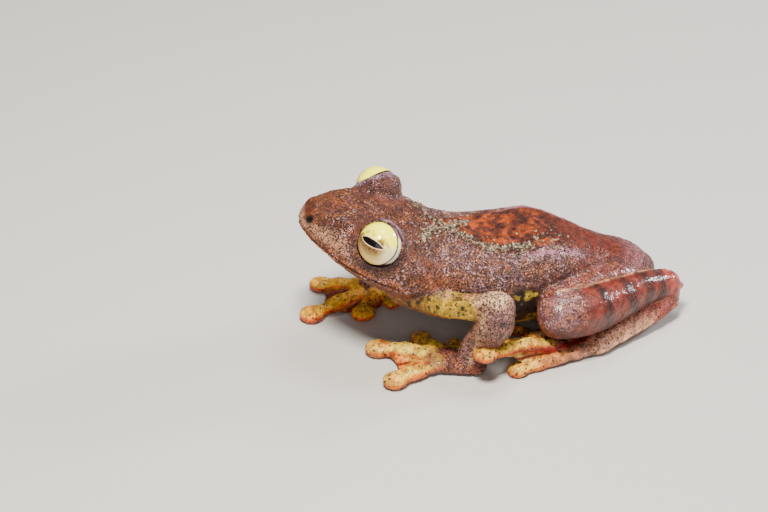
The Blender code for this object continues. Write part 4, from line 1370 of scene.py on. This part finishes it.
def make_skin():
    skin = Skin(make_field())
    for work in (
        model_head,
        model_body,
        roughen,
        colour_trunk,
        colour_arms,
        colour_legs,
        colour_digits,
        colour_webs,
        colour_lids_and_crease_shade,
    ):
        work(skin)
    surface = settle(skin)
    piece = mesh_piece("skin", surface, skin.quads)
    give(piece, "ground", np.clip(skin.colour, 0, 1))
    marks = [np.clip(values, 0, 1) for values in (skin.freckles, skin.dots, skin.wetness)]
    give(piece, "marks", np.stack(marks, axis=1))
    piece.data.materials.append(skin_material())
    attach(piece, "root")
    flesh = [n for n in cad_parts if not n.startswith("eye_")]
    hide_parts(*flesh)
    return skin, surface


def make_eye(side, material):
    """One eyeball with a slightly raised cornea; each point keeps its angles from the line of sight."""
    place, axis, ahead, up = eye_frame(side)
    axis = axis + GAZE_AHEAD * ahead + GAZE_UP[side] * up
    axis /= np.linalg.norm(axis)
    ahead, up = square_to(axis, ahead + GAZE_ROLL * up, side)
    lean = np.linspace(0, math.pi, EYE_RINGS + 1)[1:-1][:, None]
    turn = np.linspace(0, 2 * math.pi, EYE_SIDES, endpoint=False)[None, :]
    across = np.cos(turn)[..., None] * ahead + np.sin(turn)[..., None] * up
    radius = EYE_RADIUS * (1 + CORNEA_RISE * np.exp(-((lean / CORNEA_SPREAD) ** 2)))
    rings = place + radius[..., None] * (np.cos(lean)[..., None] * axis + np.sin(lean)[..., None] * across)
    points, faces = loft(rings, place + axis * radius[0, 0], place - axis * EYE_RADIUS)
    if side == RIGHT:
        faces = faces[:, ::-1]
    angles = np.stack([lean * np.cos(turn), lean * np.sin(turn), 0 * lean * turn], axis=-1).reshape(-1, 3)
    angles = np.concatenate([angles, [(0, 0, 0), (math.pi, 0, 0)]])
    piece = mesh_piece(f"eyeball_{SIDE_NAMES[side]}", points, faces)
    give(piece, "angles", angles)
    piece.data.materials.append(material)
    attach(piece, "root")
    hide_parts(f"eye_{SIDE_NAMES[side]}")


def make_grains(skin, surface):
    """Grains of sand that stick along the lines of the back and on its hump."""
    dice = np.random.default_rng(GRAIN_SEED)
    rock = bmesh.new()
    bmesh.ops.create_icosphere(rock, subdivisions=1, radius=1)
    corners = np.array([v.co for v in rock.verts])
    sides = np.array([[v.index for v in f.verts] for f in rock.faces])
    rock.free()
    tree = KDTree(len(surface))
    for k, point in enumerate(surface):
        tree.insert(point, k)
    tree.balance()
    points, faces, tones = [], [], []
    for side, first, last, spread, count in GRAIN_BANDS:
        line = smooth_line(mirrored(DORSAL_LINE, side), LINE_POINTS)
        for _ in range(count):
            at = line[int((LINE_POINTS - 1) * dice.uniform(first, last))]
            near = at + dice.normal(0, spread, 3)
            spot, index, _ = tree.find(near)
            size = dice.uniform(*GRAIN_SIZES) * dice.uniform(0.7, 1.0)
            stretch = dice.uniform(*GRAIN_STRETCH, 3)
            knobs = dice.uniform(*GRAIN_KNOBS, (len(corners), 1))
            angle = dice.uniform(0, 6.3)
            axis = Vector(dice.normal(0, 1, 3)).normalized()
            turn = np.array(Matrix.Rotation(angle, 3, axis))
            shape = (corners * knobs * stretch * size) @ turn.T
            faces.append(sides + len(points) * len(corners))
            points.append(np.array(spot) + skin.normals[index] * size * GRAIN_RISE + shape)
            tones += [dice.uniform(0, 1) ** 1.5] * len(corners)
    piece = mesh_piece("sand_grains", np.concatenate(points), np.concatenate(faces))
    piece.data.shade_flat()
    give(piece, "tone", tones)
    piece.data.materials.append(sand_material())
    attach(piece, "root")


def make_stage():
    signs = ((-1, -1), (1, -1), (1, 1), (-1, 1))
    floor = mesh_piece("floor", [(a * FLOOR_REACH, b * FLOOR_REACH, 0) for a, b in signs], [(0, 1, 2, 3)])
    material = bpy.data.materials.new("floor")
    material.use_nodes = True
    shader = material.node_tree.nodes["Principled BSDF"]
    shader.inputs["Base Color"].default_value = FLOOR_COLOUR
    shader.inputs["Roughness"].default_value = FLOOR_ROUGHNESS
    floor.data.materials.append(material)


def aim(thing, towards):
    """Turns a camera or light to look along a direction."""
    thing.rotation_mode = "QUATERNION"
    thing.rotation_quaternion = towards.to_track_quat("-Z", "Y")
    bpy.context.scene.collection.objects.link(thing)


def make_camera():
    level = math.cos(CAMERA_ELEVATION)
    back = Vector(
        (
            math.sin(CAMERA_AZIMUTH) * level,
            -math.cos(CAMERA_AZIMUTH) * level,
            math.sin(CAMERA_ELEVATION),
        )
    )
    data = bpy.data.cameras.new("camera")
    data.lens = CAMERA_LENS
    data.sensor_width = 36
    data.clip_start, data.clip_end = 0.01, 10
    camera = bpy.data.objects.new("camera", data)
    camera.location = Vector(in_row(CAMERA_TARGET)) + back * CAMERA_DISTANCE * MM
    aim(camera, -back)
    bpy.context.scene.camera = camera


def make_light(name, place, target, size, power, colour):
    data = bpy.data.lights.new(name, "AREA")
    data.shape = "DISK"
    data.size = size * MM
    data.energy = power
    data.color = colour
    light = bpy.data.objects.new(name, data)
    light.location = Vector(in_row(place))
    aim(light, Vector(in_row(target)) - light.location)


def make_world():
    world = bpy.data.worlds.new("studio")
    world.use_nodes = True
    background = world.node_tree.nodes["Background"].inputs
    background["Color"].default_value = WORLD_COLOUR
    background["Strength"].default_value = WORLD_STRENGTH
    bpy.context.scene.world = world


skin, surface = make_skin()
eyes = eye_material()
for side in SIDES:
    make_eye(side, eyes)
make_grains(skin, surface)
make_stage()
make_camera()
for light in LIGHTS:
    make_light(*light)
make_world()
